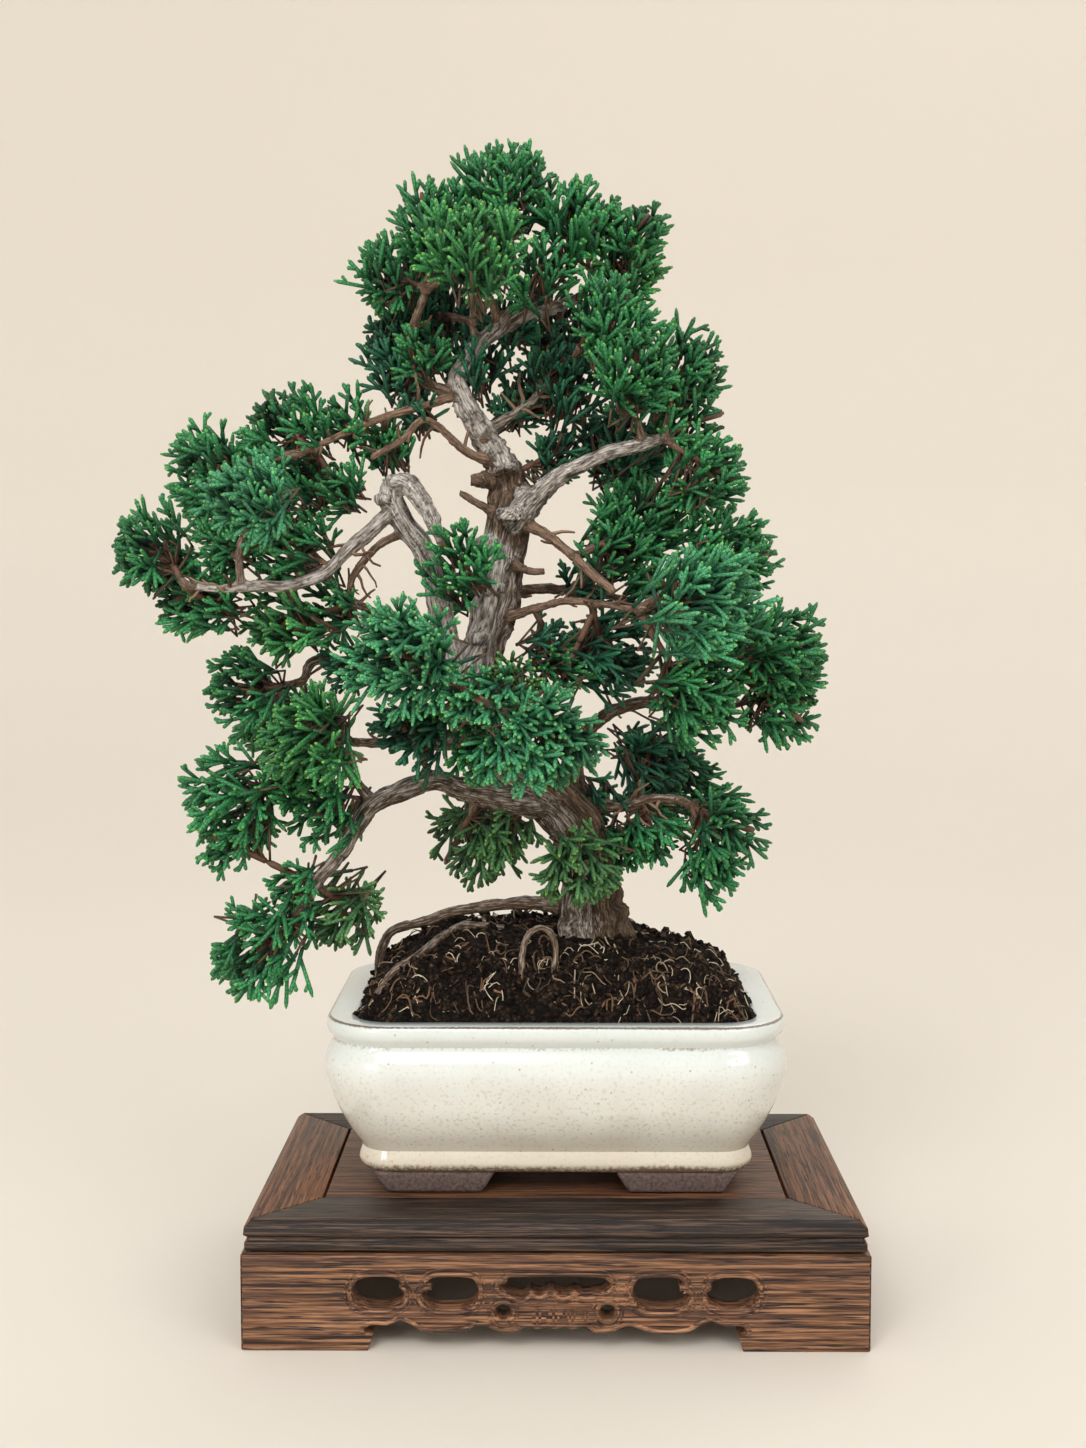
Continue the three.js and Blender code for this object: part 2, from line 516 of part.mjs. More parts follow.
// Room left between two straight tapered pieces, from the start share of each to its end
function roomBetween(rod, other, startShare) {
  const a = rod.from.clone().lerp(rod.to, startShare);
  const c = other.from.clone().lerp(other.to, startShare);
  const first = rod.to.clone().sub(a);
  const second = other.to.clone().sub(c);
  const between = a.clone().sub(c);
  const [f, s, e] = [first.dot(first), second.dot(second), second.dot(between)];
  const [g, h] = [first.dot(between), first.dot(second)];
  const spread = f * s - h * h;
  let alongFirst = spread > 1e-9 ? THREE.MathUtils.clamp((h * e - g * s) / spread, 0, 1) : 0;
  let alongSecond = (h * alongFirst + e) / s;
  if (alongSecond < 0 || alongSecond > 1) {
    alongSecond = THREE.MathUtils.clamp(alongSecond, 0, 1);
    alongFirst = THREE.MathUtils.clamp((h * alongSecond - g) / f, 0, 1);
  }
  const near = a.addScaledVector(first, alongFirst);
  const distance = near.distanceTo(c.addScaledVector(second, alongSecond));
  const widest = THREE.MathUtils.lerp(rod.radius, rod.tipRadius, alongFirst * 0.7);
  return distance - widest - THREE.MathUtils.lerp(other.radius, other.tipRadius, alongSecond * 0.7);
}

// A shoot isn't compared with what it grows from, and is compared with its brothers only past their
// roots, because they share the stem's faces
function isClear(rod) {
  return rods.every((other) => {
    const span = rod.reach + other.reach + 2 * GAP;
    const isParent = other.family !== null && other.family === rod.parent;
    if (isParent || rod.middle.distanceToSquared(other.middle) > span * span) {
      return true;
    }
    const isBrother = other.parent !== null && other.parent === rod.parent;
    const room = roomBetween(rod, other, isBrother ? SIBLING_START : 0);
    return room > (other.owner === rod.owner ? 0 : GAP + 0.05);
  });
}

// A stem's rods are one family, and so is each shoot, and a rod's parent is the family it grows from
function plannedRod(owner, from, direction, length, radius, family, parent) {
  const to = from.clone().addScaledVector(direction, length);
  const rod = woodRod(from.clone(), to, radius, radius * 0.3);
  return { ...rod, owner, family, parent };
}

// The nearest point of a branch that a pad's twig can grow from
function nearestWood(point) {
  let best = null;
  for (const rod of rods) {
    if (!rod.bearsTwigs) {
      continue;
    }
    const line = new THREE.Line3(rod.from, rod.to);
    const near = line.closestPointToPoint(point, true, new THREE.Vector3());
    const distance = near.distanceTo(point);
    if (best === null || distance < best.distance) {
      best = { near, distance, radius: rod.radius };
    }
  }
  return best;
}

// Settles a pad's twig and stem, clear of all other wood and stems
function seatPad(owner, pad) {
  const [, x, y, z, radius] = pad;
  const aim = new THREE.Vector3(x, y, z);
  for (let attempt = 0; attempt < SEAT_ATTEMPTS; attempt++) {
    const reach = attempt * SEAT_STEP;
    const middle = aim.clone();
    middle.x += drawBetween(-reach, reach);
    middle.y += drawBetween(-reach, reach);
    middle.z += drawBetween(-reach, reach);
    const wood = nearestWood(middle);
    const away = middle.clone().sub(wood.near);
    const distance = away.length();
    away.normalize();
    const seatAt = Math.max(wood.radius + 2, distance - radius * STEM_BACK);
    const seat = wood.near.clone().addScaledVector(away, seatAt);
    const root = seat.clone().addScaledVector(away, GAP);
    const lean = leanOf(pad, away);
    const centres = stemCentres(root, away, lean, radius);
    const twig = { from: wood.near, to: seat, radius: TWIG_RADIUS, tipRadius: TWIG_RADIUS };
    const twigClear = rods.every((rod) => rod.owner === WOOD_OWNER || roomBetween(twig, rod, 0) > GAP);
    const stems = stemRods(owner, centres);
    if (twigClear && stems.every(isClear)) {
      rods.push(woodRod(wood.near, seat, TWIG_RADIUS, TWIG_RADIUS), ...stems);
      return { owner, pad, seat, lean, centres, stems, middle, woodPoint: wood.near };
    }
  }
  throw new Error(`no clear place for ${pad[0]}`);
}

// The way that a pad's sprays lean: out from the tree's middle, and up or down by its rise
function leanOf(pad, away) {
  const [, x, y, , , rise] = pad;
  const outward = new THREE.Vector3(x + 20, y * 1.2, 0).multiplyScalar(1 / 60);
  return outward.add(new THREE.Vector3(0, 0, rise)).addScaledVector(away, 0.5).normalize();
}

// A pad's stem bends from its twig's direction towards its lean
function stemCentres(root, away, lean, padRadius) {
  const step = padRadius * STEM_LENGTH / (STEM_BANDS + 1);
  const centres = [root];
  for (let i = 0; i <= STEM_BANDS; i++) {
    const direction = away.clone().lerp(lean, Math.min(1, i / (STEM_BANDS - 1))).normalize();
    centres.push(centres[i].clone().addScaledVector(direction, step));
  }
  return centres;
}

function stemRods(owner, centres) {
  return centres.slice(0, -1).map((from, i) => {
    const direction = centres[i + 1].clone().sub(from);
    const length = direction.length();
    return plannedRod(owner, from, direction.normalize(), length, STEM_RADIUS, `stem ${owner}`, null);
  });
}

// Sprays are drawn point by point: a shoot is a three-sided rod whose rings follow its centres, and
// a face of a shoot can be the root of a smaller one

function addPoint(spray, point) {
  spray.points.push(point);
  return spray.points.length - 1;
}

function nextRing(spray, ring, centre, direction, radius) {
  const middle = ring.reduce((sum, id) => sum.add(spray.points[id]), new THREE.Vector3()).divideScalar(3);
  return ring.map((id) => {
    const arm = spray.points[id].clone().sub(middle);
    arm.addScaledVector(direction, -arm.dot(direction)).setLength(radius);
    return addPoint(spray, centre.clone().add(arm));
  });
}

// Walls between two rings: the first triangle of each side is a root that a shoot may grow from
function addBand(spray, low, high, direction, family, forward, keep) {
  const roots = [];
  for (let side = 0; side < 3; side++) {
    const [a, b] = [low[side], low[(side + 1) % 3]];
    const [topB, topA] = [high[(side + 1) % 3], high[side]];
    spray.faces.push([a, topB, topA]);
    if (keep(side)) {
      roots.push({ face: [a, b, topB], direction, family, forward });
    } else {
      spray.faces.push([a, b, topB]);
    }
  }
  return roots;
}

function addTip(spray, ring, tip) {
  const id = addPoint(spray, tip);
  for (let side = 0; side < 3; side++) {
    spray.faces.push([ring[side], ring[(side + 1) % 3], id]);
  }
}

function startSpray(site) {
  const { centres, stems } = site;
  const spray = { points: [], faces: [] };
  const direction = centres[1].clone().sub(centres[0]).normalize();
  const across = new THREE.Vector3(0, 0, 1).cross(direction);
  if (across.length() < 0.2) {
    across.set(1, 0, 0);
  }
  across.normalize().applyAxisAngle(direction, site.owner);
  let ring = [0, 1, 2].map((corner) => {
    const arm = across.clone().applyAxisAngle(direction, corner * 2 * Math.PI / 3);
    return addPoint(spray, centres[0].clone().addScaledVector(arm, STEM_RADIUS));
  });
  spray.faces.push([ring[0], ring[2], ring[1]]);
  site.roots = [];
  for (let band = 0; band < STEM_BANDS; band++) {
    const ahead = centres[band + 1].clone().sub(centres[band]).normalize();
    const next = nextRing(spray, ring, centres[band + 1], ahead, STEM_RADIUS);
    const keep = (side) => band > 0 && (side + band) % 3 !== 0;
    const forward = THREE.MathUtils.lerp(LOW_FORWARD, HIGH_FORWARD, band / (STEM_BANDS - 1));
    site.roots.push(...addBand(spray, ring, next, ahead, stems[band].family, forward, keep));
    ring = next;
  }
  addTip(spray, ring, centres[STEM_BANDS + 1]);
  site.spray = spray;
}

function faceMiddle(spray, face) {
  return face.reduce((sum, id) => sum.add(spray.points[id]), new THREE.Vector3()).divideScalar(3);
}

function faceNormal(spray, face) {
  const [a, b, c] = face.map((id) => spray.points[id]);
  return b.clone().sub(a).cross(c.clone().sub(a)).normalize();
}

// How far a ray from inside a pad goes before it leaves the pad's ball
function reachInPad(site, from, direction, radius) {
  const toMiddle = site.middle.clone().sub(from);
  const along = toMiddle.dot(direction);
  const inside = along * along - toMiddle.lengthSq() + radius * radius;
  return inside > 0 ? along + Math.sqrt(inside) : 0;
}

// Tries a shoot at a root, shorter and shorter until it is clear of everything else
function tryShoot(site, root, longest) {
  const { spray } = site;
  const from = faceMiddle(spray, root.face);
  const direction = faceNormal(spray, root.face).multiplyScalar(1 - root.forward);
  direction.addScaledVector(root.direction, root.forward).addScaledVector(site.lean, SHOOT_LEAN);
  const wobble = () => drawBetween(-SHOOT_WOBBLE, SHOOT_WOBBLE);
  direction.add(new THREE.Vector3(wobble(), wobble(), wobble())).normalize();
  const ball = reachInPad(site, from, direction, site.pad[4] * drawBetween(0.88, 1.04));
  const length = Math.min(longest, ball);
  for (const share of SHOOT_SHARES) {
    const family = `shoot ${rods.length}`;
    const rod = plannedRod(site.owner, from, direction, length * share, CORD_RADIUS, family, root.family);
    if (length * share >= SHORTEST_CORD && isClear(rod)) {
      rods.push(rod);
      return { rod, from, direction, length: length * share };
    }
  }
  return null;
}

function growShoots(site) {
  const { spray } = site;
  site.cordRoots = [];
  site.roots.forEach((root, order) => {
    const shoot = tryShoot(site, root, site.pad[4] * SHOOT_REACH);
    if (shoot === null) {
      spray.faces.push(root.face);
      return;
    }
    const { rod, from, direction, length } = shoot;
    const ringAt = (share, radius, ring) => {
      const centre = from.clone().addScaledVector(direction, length * share);
      return nextRing(spray, ring, centre, direction, radius);
    };
    const low = ringAt(SHOOT_LOW_RING, CORD_RADIUS, root.face);
    const high = ringAt(SHOOT_HIGH_RING, CORD_RADIUS * 0.9, low);
    addBand(spray, root.face, low, direction, rod.family, 0, () => false);
    const keep = (side) => length > SHORTEST_FORK && (side + order) % 3 !== 0;
    site.cordRoots.push(...addBand(spray, low, high, direction, rod.family, CORD_FORWARD, keep));
    addTip(spray, high, rod.to);
  });
}

function growCords(site) {
  for (const root of site.cordRoots) {
    const cord = tryShoot(site, root, CORD_LENGTH);
    if (cord === null) {
      site.spray.faces.push(root.face);
    } else {
      addTip(site.spray, root.face, cord.rod.to);
    }
  }
}

function sprayGeometry(spray) {
  const geometry = new THREE.BufferGeometry().setFromPoints(spray.points);
  geometry.setIndex(spray.faces.flat());
  geometry.computeVertexNormals();
  return geometry;
}

function growTree() {
  [TRUNK, ...HEAVY_LIMBS, ...LIGHT_LIMBS].forEach((route) => addRouteRods(route, true));
  ROOTS.forEach((route) => addRouteRods(route, false));
  const sites = PADS.map((pad, owner) => seatPad(owner, pad));
  sites.forEach(startSpray);
  sites.forEach(growShoots);
  sites.forEach(growCords);
  return sites;
}

// A pad's twig, sunk into its branch
function twigSolid(site) {
  const length = site.woodPoint.distanceTo(site.seat);
  const twig = new THREE.CylinderGeometry(TWIG_RADIUS * 0.85, TWIG_RADIUS, length, 3);
  const along = site.seat.clone().sub(site.woodPoint).normalize();
  twig.applyQuaternion(new THREE.Quaternion().setFromUnitVectors(new THREE.Vector3(0, 1, 0), along));
  const middle = site.seat.clone().add(site.woodPoint).multiplyScalar(0.5);
  return solidOf(twig.translate(middle.x, middle.y, middle.z));
}

function woodSolid(sites) {
  let wood = solidOf(limbGeometry(TRUNK, TRUNK_SIDES, 0, TRUNK_RIDGES));
  for (const route of HEAVY_LIMBS) {
    wood = wood.add(solidOf(limbGeometry(route, HEAVY_SIDES, 0, 0)));
  }
  for (const route of [...LIGHT_LIMBS, ...ROOTS]) {
    wood = wood.add(solidOf(limbGeometry(route, LIGHT_SIDES, 0, 0)));
  }
  for (const site of sites) {
    wood = wood.add(twigSolid(site));
  }
  return wood;
}

// Soil: fills the pot's inside, mounds up round the trunk, and is cut clear of wood and screens
const MOUND_RINGS = [1, 0.94, 0.86, 0.74, 0.58, 0.4, 0.2];
const SOIL_CUT = 0.48;

function moundHeight(share) {
  return SOIL_EDGE + MOUND_SHOULDER * (1 - share ** 6) + MOUND_DOME * (1 - share ** 2);
}

function soilSolid() {
  const wall = POT_INSIDE.slice(0, 3).map(([height, inset]) => [height, inset + GAP]);
  wall[0][0] += GAP;
  const centre = new THREE.Vector3(MOUND_CENTRE_X, MOUND_CENTRE_Y + POT_SHIFT_Y, 0);
  const ringCount = wall.length + MOUND_RINGS.length + 2;
  const body = ringBody(ringCount, POT_SEGMENTS, (ring, angle) => {
    if (ring === 0) {
      return new THREE.Vector3(0, POT_SHIFT_Y, POT_BOTTOM + wall[0][0]);
    }
    if (ring === ringCount - 1) {
      return new THREE.Vector3(centre.x, centre.y, POT_BOTTOM + moundHeight(0));
    }
    if (ring <= wall.length) {
      return potOutline(wall[ring - 1][1], angle, wall[ring - 1][0]);
    }
    const share = MOUND_RINGS[ring - 1 - wall.length];
    const edge = potOutline(POT_INSIDE[3][1] + GAP + 0.2, angle, 0);
    const lump = SOIL_LUMP * Math.sin(5 * angle + 9 * share) * Math.cos(7 * angle - 14 * share);
    const x = centre.x + (edge.x - centre.x) * share;
    const y = centre.y + (edge.y - centre.y) * share;
    return new THREE.Vector3(x, y, POT_BOTTOM + moundHeight(share) + (share < 1 ? lump : 0));
  });
  let soil = solidOf(body);
  soil = soil.subtract(solidOf(limbGeometry(TRUNK, TRUNK_SIDES, SOIL_CUT, TRUNK_RIDGES)));
  for (const route of ROOTS) {
    soil = soil.subtract(solidOf(limbGeometry(route, LIGHT_SIDES, SOIL_CUT, 0)));
  }
  for (const side of [-1, 1]) {
    const pocket = SCREEN_SIZE + 2 * GAP;
    const low = POT_BOTTOM + POT_FLOOR - 1;
    const height = SCREEN_THICKNESS + 2 * GAP + 1;
    soil = soil.subtract(solidOf(blockOf(pocket, pocket, height, side * DRAIN_X, POT_SHIFT_Y, low)));
  }
  return soil;
}

// Scene graph

function mesh(name, geometry, material) {
  const piece = new THREE.Mesh(geometry, material);
  piece.name = name;
  return piece;
}

const design = new THREE.Group();
for (const [name, geometry, material, quarterTurns] of standPieces()) {
  const piece = mesh(name, geometry, material);
  piece.rotation.z = quarterTurns * Math.PI / 2;
  design.add(piece);
}
design.add(mesh("pot", geometryOf(potSolid()), GLAZE));
design.add(mesh("drain_screen_left", geometryOf(drainScreen(-1)), SCREEN_BLACK));
design.add(mesh("drain_screen_right", geometryOf(drainScreen(1)), SCREEN_BLACK));
design.add(mesh("soil", geometryOf(soilSolid()), SOIL_BLACK));
const sites = growTree();
design.add(mesh("trunk", geometryOf(woodSolid(sites)), BARK));
for (const site of sites) {
  const material = new THREE.MeshStandardMaterial({
    color: LEAF_COLOURS[site.pad[6]], roughness: 0.7, metalness: 0,
  });
  design.add(mesh(`foliage_${site.pad[0]}`, sprayGeometry(site.spray), material));
}

design.updateMatrixWorld(true);
const outerBox = new THREE.Box3().setFromObject(design);
const boxMiddle = outerBox.getCenter(new THREE.Vector3());
design.position.set(-boxMiddle.x, -boxMiddle.y, -outerBox.min.z);

const bonsai = new THREE.Group();
bonsai.add(design);
export default bonsai;
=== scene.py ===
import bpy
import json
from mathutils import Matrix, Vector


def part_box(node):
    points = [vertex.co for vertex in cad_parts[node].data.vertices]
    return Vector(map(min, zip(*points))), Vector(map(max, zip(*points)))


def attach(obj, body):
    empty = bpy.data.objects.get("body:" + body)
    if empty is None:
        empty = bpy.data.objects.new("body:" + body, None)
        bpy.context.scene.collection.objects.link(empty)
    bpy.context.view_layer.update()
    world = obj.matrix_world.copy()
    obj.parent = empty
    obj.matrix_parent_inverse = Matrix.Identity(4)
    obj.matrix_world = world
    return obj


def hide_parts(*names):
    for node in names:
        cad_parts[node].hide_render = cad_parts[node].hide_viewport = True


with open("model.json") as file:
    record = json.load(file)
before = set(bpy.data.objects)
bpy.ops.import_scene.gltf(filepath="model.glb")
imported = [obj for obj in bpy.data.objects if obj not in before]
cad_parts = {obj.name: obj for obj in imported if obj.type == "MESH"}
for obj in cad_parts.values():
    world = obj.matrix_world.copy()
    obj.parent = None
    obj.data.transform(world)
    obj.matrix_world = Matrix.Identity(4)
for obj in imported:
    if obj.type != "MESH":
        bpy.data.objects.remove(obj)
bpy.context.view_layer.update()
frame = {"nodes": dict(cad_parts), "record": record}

import json
import math
import random

import bpy
import numpy as np
from mathutils import Matrix, Vector, noise
from mathutils.bvhtree import BVHTree

# Kishu juniper bonsai in a glazed pot on a carved stand.
# Sizes are millimetres in the plan frame: the middle of the stand's underside, x to the right,
# y to the back and z up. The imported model's frame is the same, moved sideways by PLAN_SHIFT.
MM = 0.001
POT_BACK = 7.1
pot_low, pot_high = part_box("pot")
PLAN_SHIFT = Vector(((pot_low.x + pot_high.x) / 2, (pot_low.y + pot_high.y) / 2 - POT_BACK * MM, 0))
POT_BOTTOM = 41.6

draw = random.Random(41)


def placed(x, y, z):
    """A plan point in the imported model's frame, in metres."""
    return Vector((x * MM, y * MM, z * MM)) + PLAN_SHIFT


def any_way():
    """A random direction, one long."""
    return Vector([draw.gauss(0, 1) for _ in range(3)]).normalized()


# Working with objects

def select_only(piece):
    bpy.ops.object.select_all(action="DESELECT")
    piece.select_set(True)
    bpy.context.view_layer.objects.active = piece


def new_object(name, data):
    piece = bpy.data.objects.new(name, data)
    bpy.context.scene.collection.objects.link(piece)
    return piece


def named(name):
    """Names the object that an operator has just added."""
    piece = bpy.context.object
    piece.name = name
    piece.data.name = name
    return piece


def apply_modifier(piece, kind, **settings):
    select_only(piece)
    modifier = piece.modifiers.new(kind.lower(), kind)
    for name, value in settings.items():
        setattr(modifier, name, value)
    bpy.ops.object.modifier_apply(modifier=modifier.name)


def join(name, pieces):
    bpy.ops.object.select_all(action="DESELECT")
    for piece in pieces:
        piece.select_set(True)
    bpy.context.view_layer.objects.active = pieces[0]
    if len(pieces) > 1:
        bpy.ops.object.join()
    return named(name)


def stack_rings(rings):
    """Draws the round face that was just added on through rings of height and radius."""
    bpy.ops.object.mode_set(mode="EDIT")
    bpy.ops.mesh.select_mode(type="FACE")
    for (low, inner), (high, outer) in zip(rings, rings[1:]):
        bpy.ops.mesh.extrude_region_move(TRANSFORM_OT_translate={"value": (0, 0, high - low)})
        bpy.ops.transform.resize(value=(outer / inner, outer / inner, 1))


def face_out(inside=False):
    """Turns all faces of the piece in edit mode outwards, or inwards, and leaves edit mode."""
    bpy.ops.mesh.select_all(action="SELECT")
    bpy.ops.mesh.normals_make_consistent(inside=inside)
    bpy.ops.object.mode_set(mode="OBJECT")


def points_of(mesh):
    points = np.zeros(len(mesh.vertices) * 3)
    mesh.vertices.foreach_get("co", points)
    return points.reshape(-1, 3)


def set_points(mesh, points):
    mesh.vertices.foreach_set("co", np.asarray(points, float).ravel())
    mesh.update()


def set_attribute(mesh, name, values, kind="FLOAT"):
    layer = mesh.attributes.get(name) or mesh.attributes.new(name, kind, "POINT")
    key = "vector" if kind == "FLOAT_VECTOR" else "value"
    layer.data.foreach_set(key, np.asarray(values, float).ravel())


def cad_copy(node, name, dissolve=True):
    """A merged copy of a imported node's mesh, with its flat faces whole again."""
    mesh = frame["nodes"][node].data.copy()
    mesh.materials.clear()
    piece = new_object(name, mesh)
    select_only(piece)
    bpy.ops.mesh.customdata_custom_splitnormals_clear()
    bpy.ops.object.mode_set(mode="EDIT")
    bpy.ops.mesh.select_all(action="SELECT")
    bpy.ops.mesh.remove_doubles(threshold=0.01 * MM)
    if dissolve:
        bpy.ops.mesh.dissolve_limited(angle_limit=math.radians(1))
    bpy.ops.object.mode_set(mode="OBJECT")
    return piece


def finish_piece(piece, material, slot, *nodes):
    piece.data.materials.clear()
    piece.data.materials.append(material)
    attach(piece, "root")
    if nodes:
        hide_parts(*nodes)


def shade_smooth(piece, angle):
    select_only(piece)
    bpy.ops.object.shade_smooth_by_angle(angle=math.radians(angle))


# Materials

def colour(code):
    """An sRGB hex colour in linear light."""
    shares = [int(code[i:i + 2], 16) / 255 for i in (0, 2, 4)]
    return tuple(s / 12.92 if s <= 0.04045 else ((s + 0.055) / 1.055) ** 2.4 for s in shares) + (1,)


def set_inputs(tree, node, inputs):
    """Gives a node its inputs by name or number: values, or sockets that get linked."""
    for key, value in inputs.items():
        if isinstance(value, bpy.types.NodeSocket):
            tree.links.new(value, node.inputs[key])
        else:
            node.inputs[key].default_value = value


def add_node(tree, kind, inputs=None, **settings):
    node = tree.nodes.new("ShaderNode" + kind)
    for name, value in settings.items():
        setattr(node, name, value)
    set_inputs(tree, node, inputs or {})
    return node


def set_stops(ramp, *stops):
    """Gives a colour ramp its (place, hex colour) stops."""
    elements = ramp.color_ramp.elements
    while len(elements) < len(stops):
        elements.new(0.5)
    for element, (place, code) in zip(elements, stops):
        element.position = place
        element.color = colour(code)


def new_material(name):
    material = bpy.data.materials.new(name)
    material.use_nodes = True
    return material, material.node_tree, material.node_tree.nodes["Principled BSDF"]


def leaf_material(title, deep, body, tip):
    """Juniper scale leaves: small waxy scales pressed to the cord, which give soft lights on a
    finely notched surface. Cords are deep green at the root and yellow-green at the tip."""
    material, tree, shader = new_material(title)
    along, shade, woody, inner = (add_node(tree, "Attribute", attribute_name=name).outputs["Fac"]
                                  for name in ("tip", "shade", "woody", "inner"))
    scales_at = add_node(tree, "UVMap", uv_map="scales")
    place = add_node(tree, "TexCoord").outputs["Object"]
    # The deep colour at each cord's root is partly the older leaves' own colour and partly painted shade
    # inside the sprays
    ramp = add_node(tree, "ValToRGB", {0: along})
    set_stops(ramp, (0.0, deep), (0.4, body), (0.9, body), (1.0, tip))
    patches = add_node(tree, "TexNoise", {"Vector": place, "Scale": 160.0, "Detail": 2.0})
    tint = add_node(tree, "Math", {0: patches.outputs["Fac"], 1: shade}, operation="ADD")
    bright = add_node(tree, "MapRange", {0: tint.outputs[0], 1: 0.3, 2: 1.6, 3: 0.7, 4: 1.5})
    # Painted shade: the inner attribute darkens points deep in a pad to as little as 0.28 of their colour
    painted_inner_shade = add_node(tree, "MapRange", {0: inner, 1: 0.0, 2: 0.65, 3: 1.0, 4: 0.28})
    light = add_node(tree, "Math", {0: bright.outputs[0], 1: painted_inner_shade.outputs[0]}, operation="MULTIPLY")
    varied = add_node(tree, "Mix", {0: 1.0, 6: ramp.outputs[0], 7: light.outputs[0]},
                      data_type="RGBA", blend_type="MULTIPLY")
    # Scales sit in staggered rows 1.3 mm long, four round the cord
    rows = add_node(tree, "TexBrick", {"Vector": scales_at.outputs[0], "Scale": 1.0, "Mortar Size": 0.09,
                                       "Mortar Smooth": 0.6, "Brick Width": 1.0, "Row Height": 1.0},
                    offset=0.5)
    notched = add_node(tree, "Mix", {0: rows.outputs["Fac"], 6: varied.outputs[2], 7: colour(deep)},
                       data_type="RGBA")
    twig = add_node(tree, "ValToRGB", {0: patches.outputs["Fac"]})
    set_stops(twig, (0.3, "38271c"), (0.6, "6f5140"))
    final = add_node(tree, "Mix", {0: woody, 6: notched.outputs[2], 7: twig.outputs[0]},
                     data_type="RGBA")
    bump = add_node(tree, "Bump", {"Height": rows.outputs["Fac"], "Strength": 0.5, "Distance": 0.25 * MM},
                    invert=True)
    set_inputs(tree, shader, {"Base Color": final.outputs[2], "Normal": bump.outputs[0],
                              "Roughness": 0.5, "Specular IOR Level": 0.35})
    return material


def bark_material():
    """Juniper bark and weathered wood: it sheds in thin lengthwise strips, brown in the cracks and
    silver-grey where the sun has bleached it, and young twigs are reddish and smooth."""
    material, tree, shader = new_material("juniper_bark")
    grain = add_node(tree, "Attribute", attribute_name="grain")
    crack, pale, young = (add_node(tree, "Attribute", attribute_name=name).outputs["Fac"]
                          for name in ("crack", "pale", "young"))
    place = add_node(tree, "TexCoord").outputs["Object"]
    strips = add_node(tree, "TexNoise", {"Vector": grain.outputs["Vector"], "Scale": 1.9, "Detail": 5.0,
                                         "Roughness": 0.6})
    # Paleness also carries painted light: the wood's upward faces were made paler
    lean = add_node(tree, "Math", {0: strips.outputs["Fac"], 1: pale}, operation="ADD")
    bleached = add_node(tree, "MapRange", {0: lean.outputs[0], 1: 0.72, 2: 1.1, 3: 0.0, 4: 1.0})
    brown = add_node(tree, "ValToRGB", {0: strips.outputs["Fac"]})
    set_stops(brown, (0.32, "2f231b"), (0.5, "594839"), (0.68, "87735f"))
    grey = add_node(tree, "ValToRGB", {0: strips.outputs["Fac"]})
    set_stops(grey, (0.34, "5a524c"), (0.46, "999189"), (0.66, "d4d0ca"))
    twig = add_node(tree, "ValToRGB", {0: strips.outputs["Fac"]})
    set_stops(twig, (0.34, "4a382d"), (0.62, "957b67"))
    skin = brown.outputs[0]
    for share, layer in ((bleached.outputs[0], grey.outputs[0]), (young, twig.outputs[0]),
                         (crack, colour("2b2019"))):
        skin = add_node(tree, "Mix", {0: share, 6: skin, 7: layer}, data_type="RGBA").outputs[2]
    fine = add_node(tree, "TexNoise", {"Vector": place, "Scale": 900.0, "Detail": 3.0})
    rough = add_node(tree, "Math", {0: strips.outputs["Fac"], 1: fine.outputs["Fac"]}, operation="ADD")
    bump = add_node(tree, "Bump", {"Height": rough.outputs[0], "Strength": 0.9, "Distance": 0.6 * MM})
    set_inputs(tree, shader, {"Base Color": skin, "Normal": bump.outputs[0],
                              "Roughness": 0.85, "Specular IOR Level": 0.3})
    return material


def wood_material(name, dark, middle, light, turned):
    """Oiled open-grained hardwood, planed and carved: dark pores run along the board, between
    lighter streaks. Pores are drawn 0.5 mm wide, coarser than real, so that they show."""
    material, tree, shader = new_material(name)
    place = add_node(tree, "TexCoord").outputs["Object"]

    def stretched(along, across):
        scale = (across, along, across) if turned else (along, across, across)
        return add_node(tree, "Mapping", {"Vector": place, "Scale": scale}).outputs[0]

    streaks = add_node(tree, "TexNoise", {"Vector": stretched(24, 1050), "Scale": 1.0, "Detail": 4.0,
                                          "Roughness": 0.7, "Distortion": 0.25})
    pores = add_node(tree, "TexNoise", {"Vector": stretched(75, 1500), "Scale": 1.0, "Detail": 2.0})
    broad = add_node(tree, "TexNoise", {"Vector": stretched(6, 60), "Scale": 1.0, "Detail": 2.0})
    base = add_node(tree, "ValToRGB", {0: streaks.outputs["Fac"]})
    set_stops(base, (0.38, dark), (0.5, middle), (0.62, light))
    shaded = add_node(tree, "MapRange", {0: broad.outputs["Fac"], 1: 0.3, 2: 0.7, 3: 0.75, 4: 1.25})
    body = add_node(tree, "Mix", {0: 1.0, 6: base.outputs[0], 7: shaded.outputs[0]},
                    data_type="RGBA", blend_type="MULTIPLY")
    pore = add_node(tree, "MapRange", {0: pores.outputs["Fac"], 1: 0.56, 2: 0.66, 3: 0.0, 4: 1.0})
    final = add_node(tree, "Mix", {0: pore.outputs[0], 6: body.outputs[2], 7: colour(dark)},
                     data_type="RGBA")
    height = add_node(tree, "Math", {0: streaks.outputs["Fac"], 1: pore.outputs[0]}, operation="SUBTRACT")
    bump = add_node(tree, "Bump", {"Height": height.outputs[0], "Strength": 0.6, "Distance": 0.35 * MM})
    set_inputs(tree, shader, {"Base Color": final.outputs[2], "Normal": bump.outputs[0],
                              "Roughness": 0.48, "Specular IOR Level": 0.4})
    return material


# Bands of the glaze by height in mm over the pot's underside: from, to, and its strength at each.
# They are the warm tan foot, partly the glaze's own tone and partly painted shade on the downward-facing
# lower belly, the cool shoulder and the bare clay.
GLAZE_BANDS = ((7, 26, 0.8, 0.0), (30, 50, 0.0, 0.75), (7.15, 7.35, 1.0, 0.0))


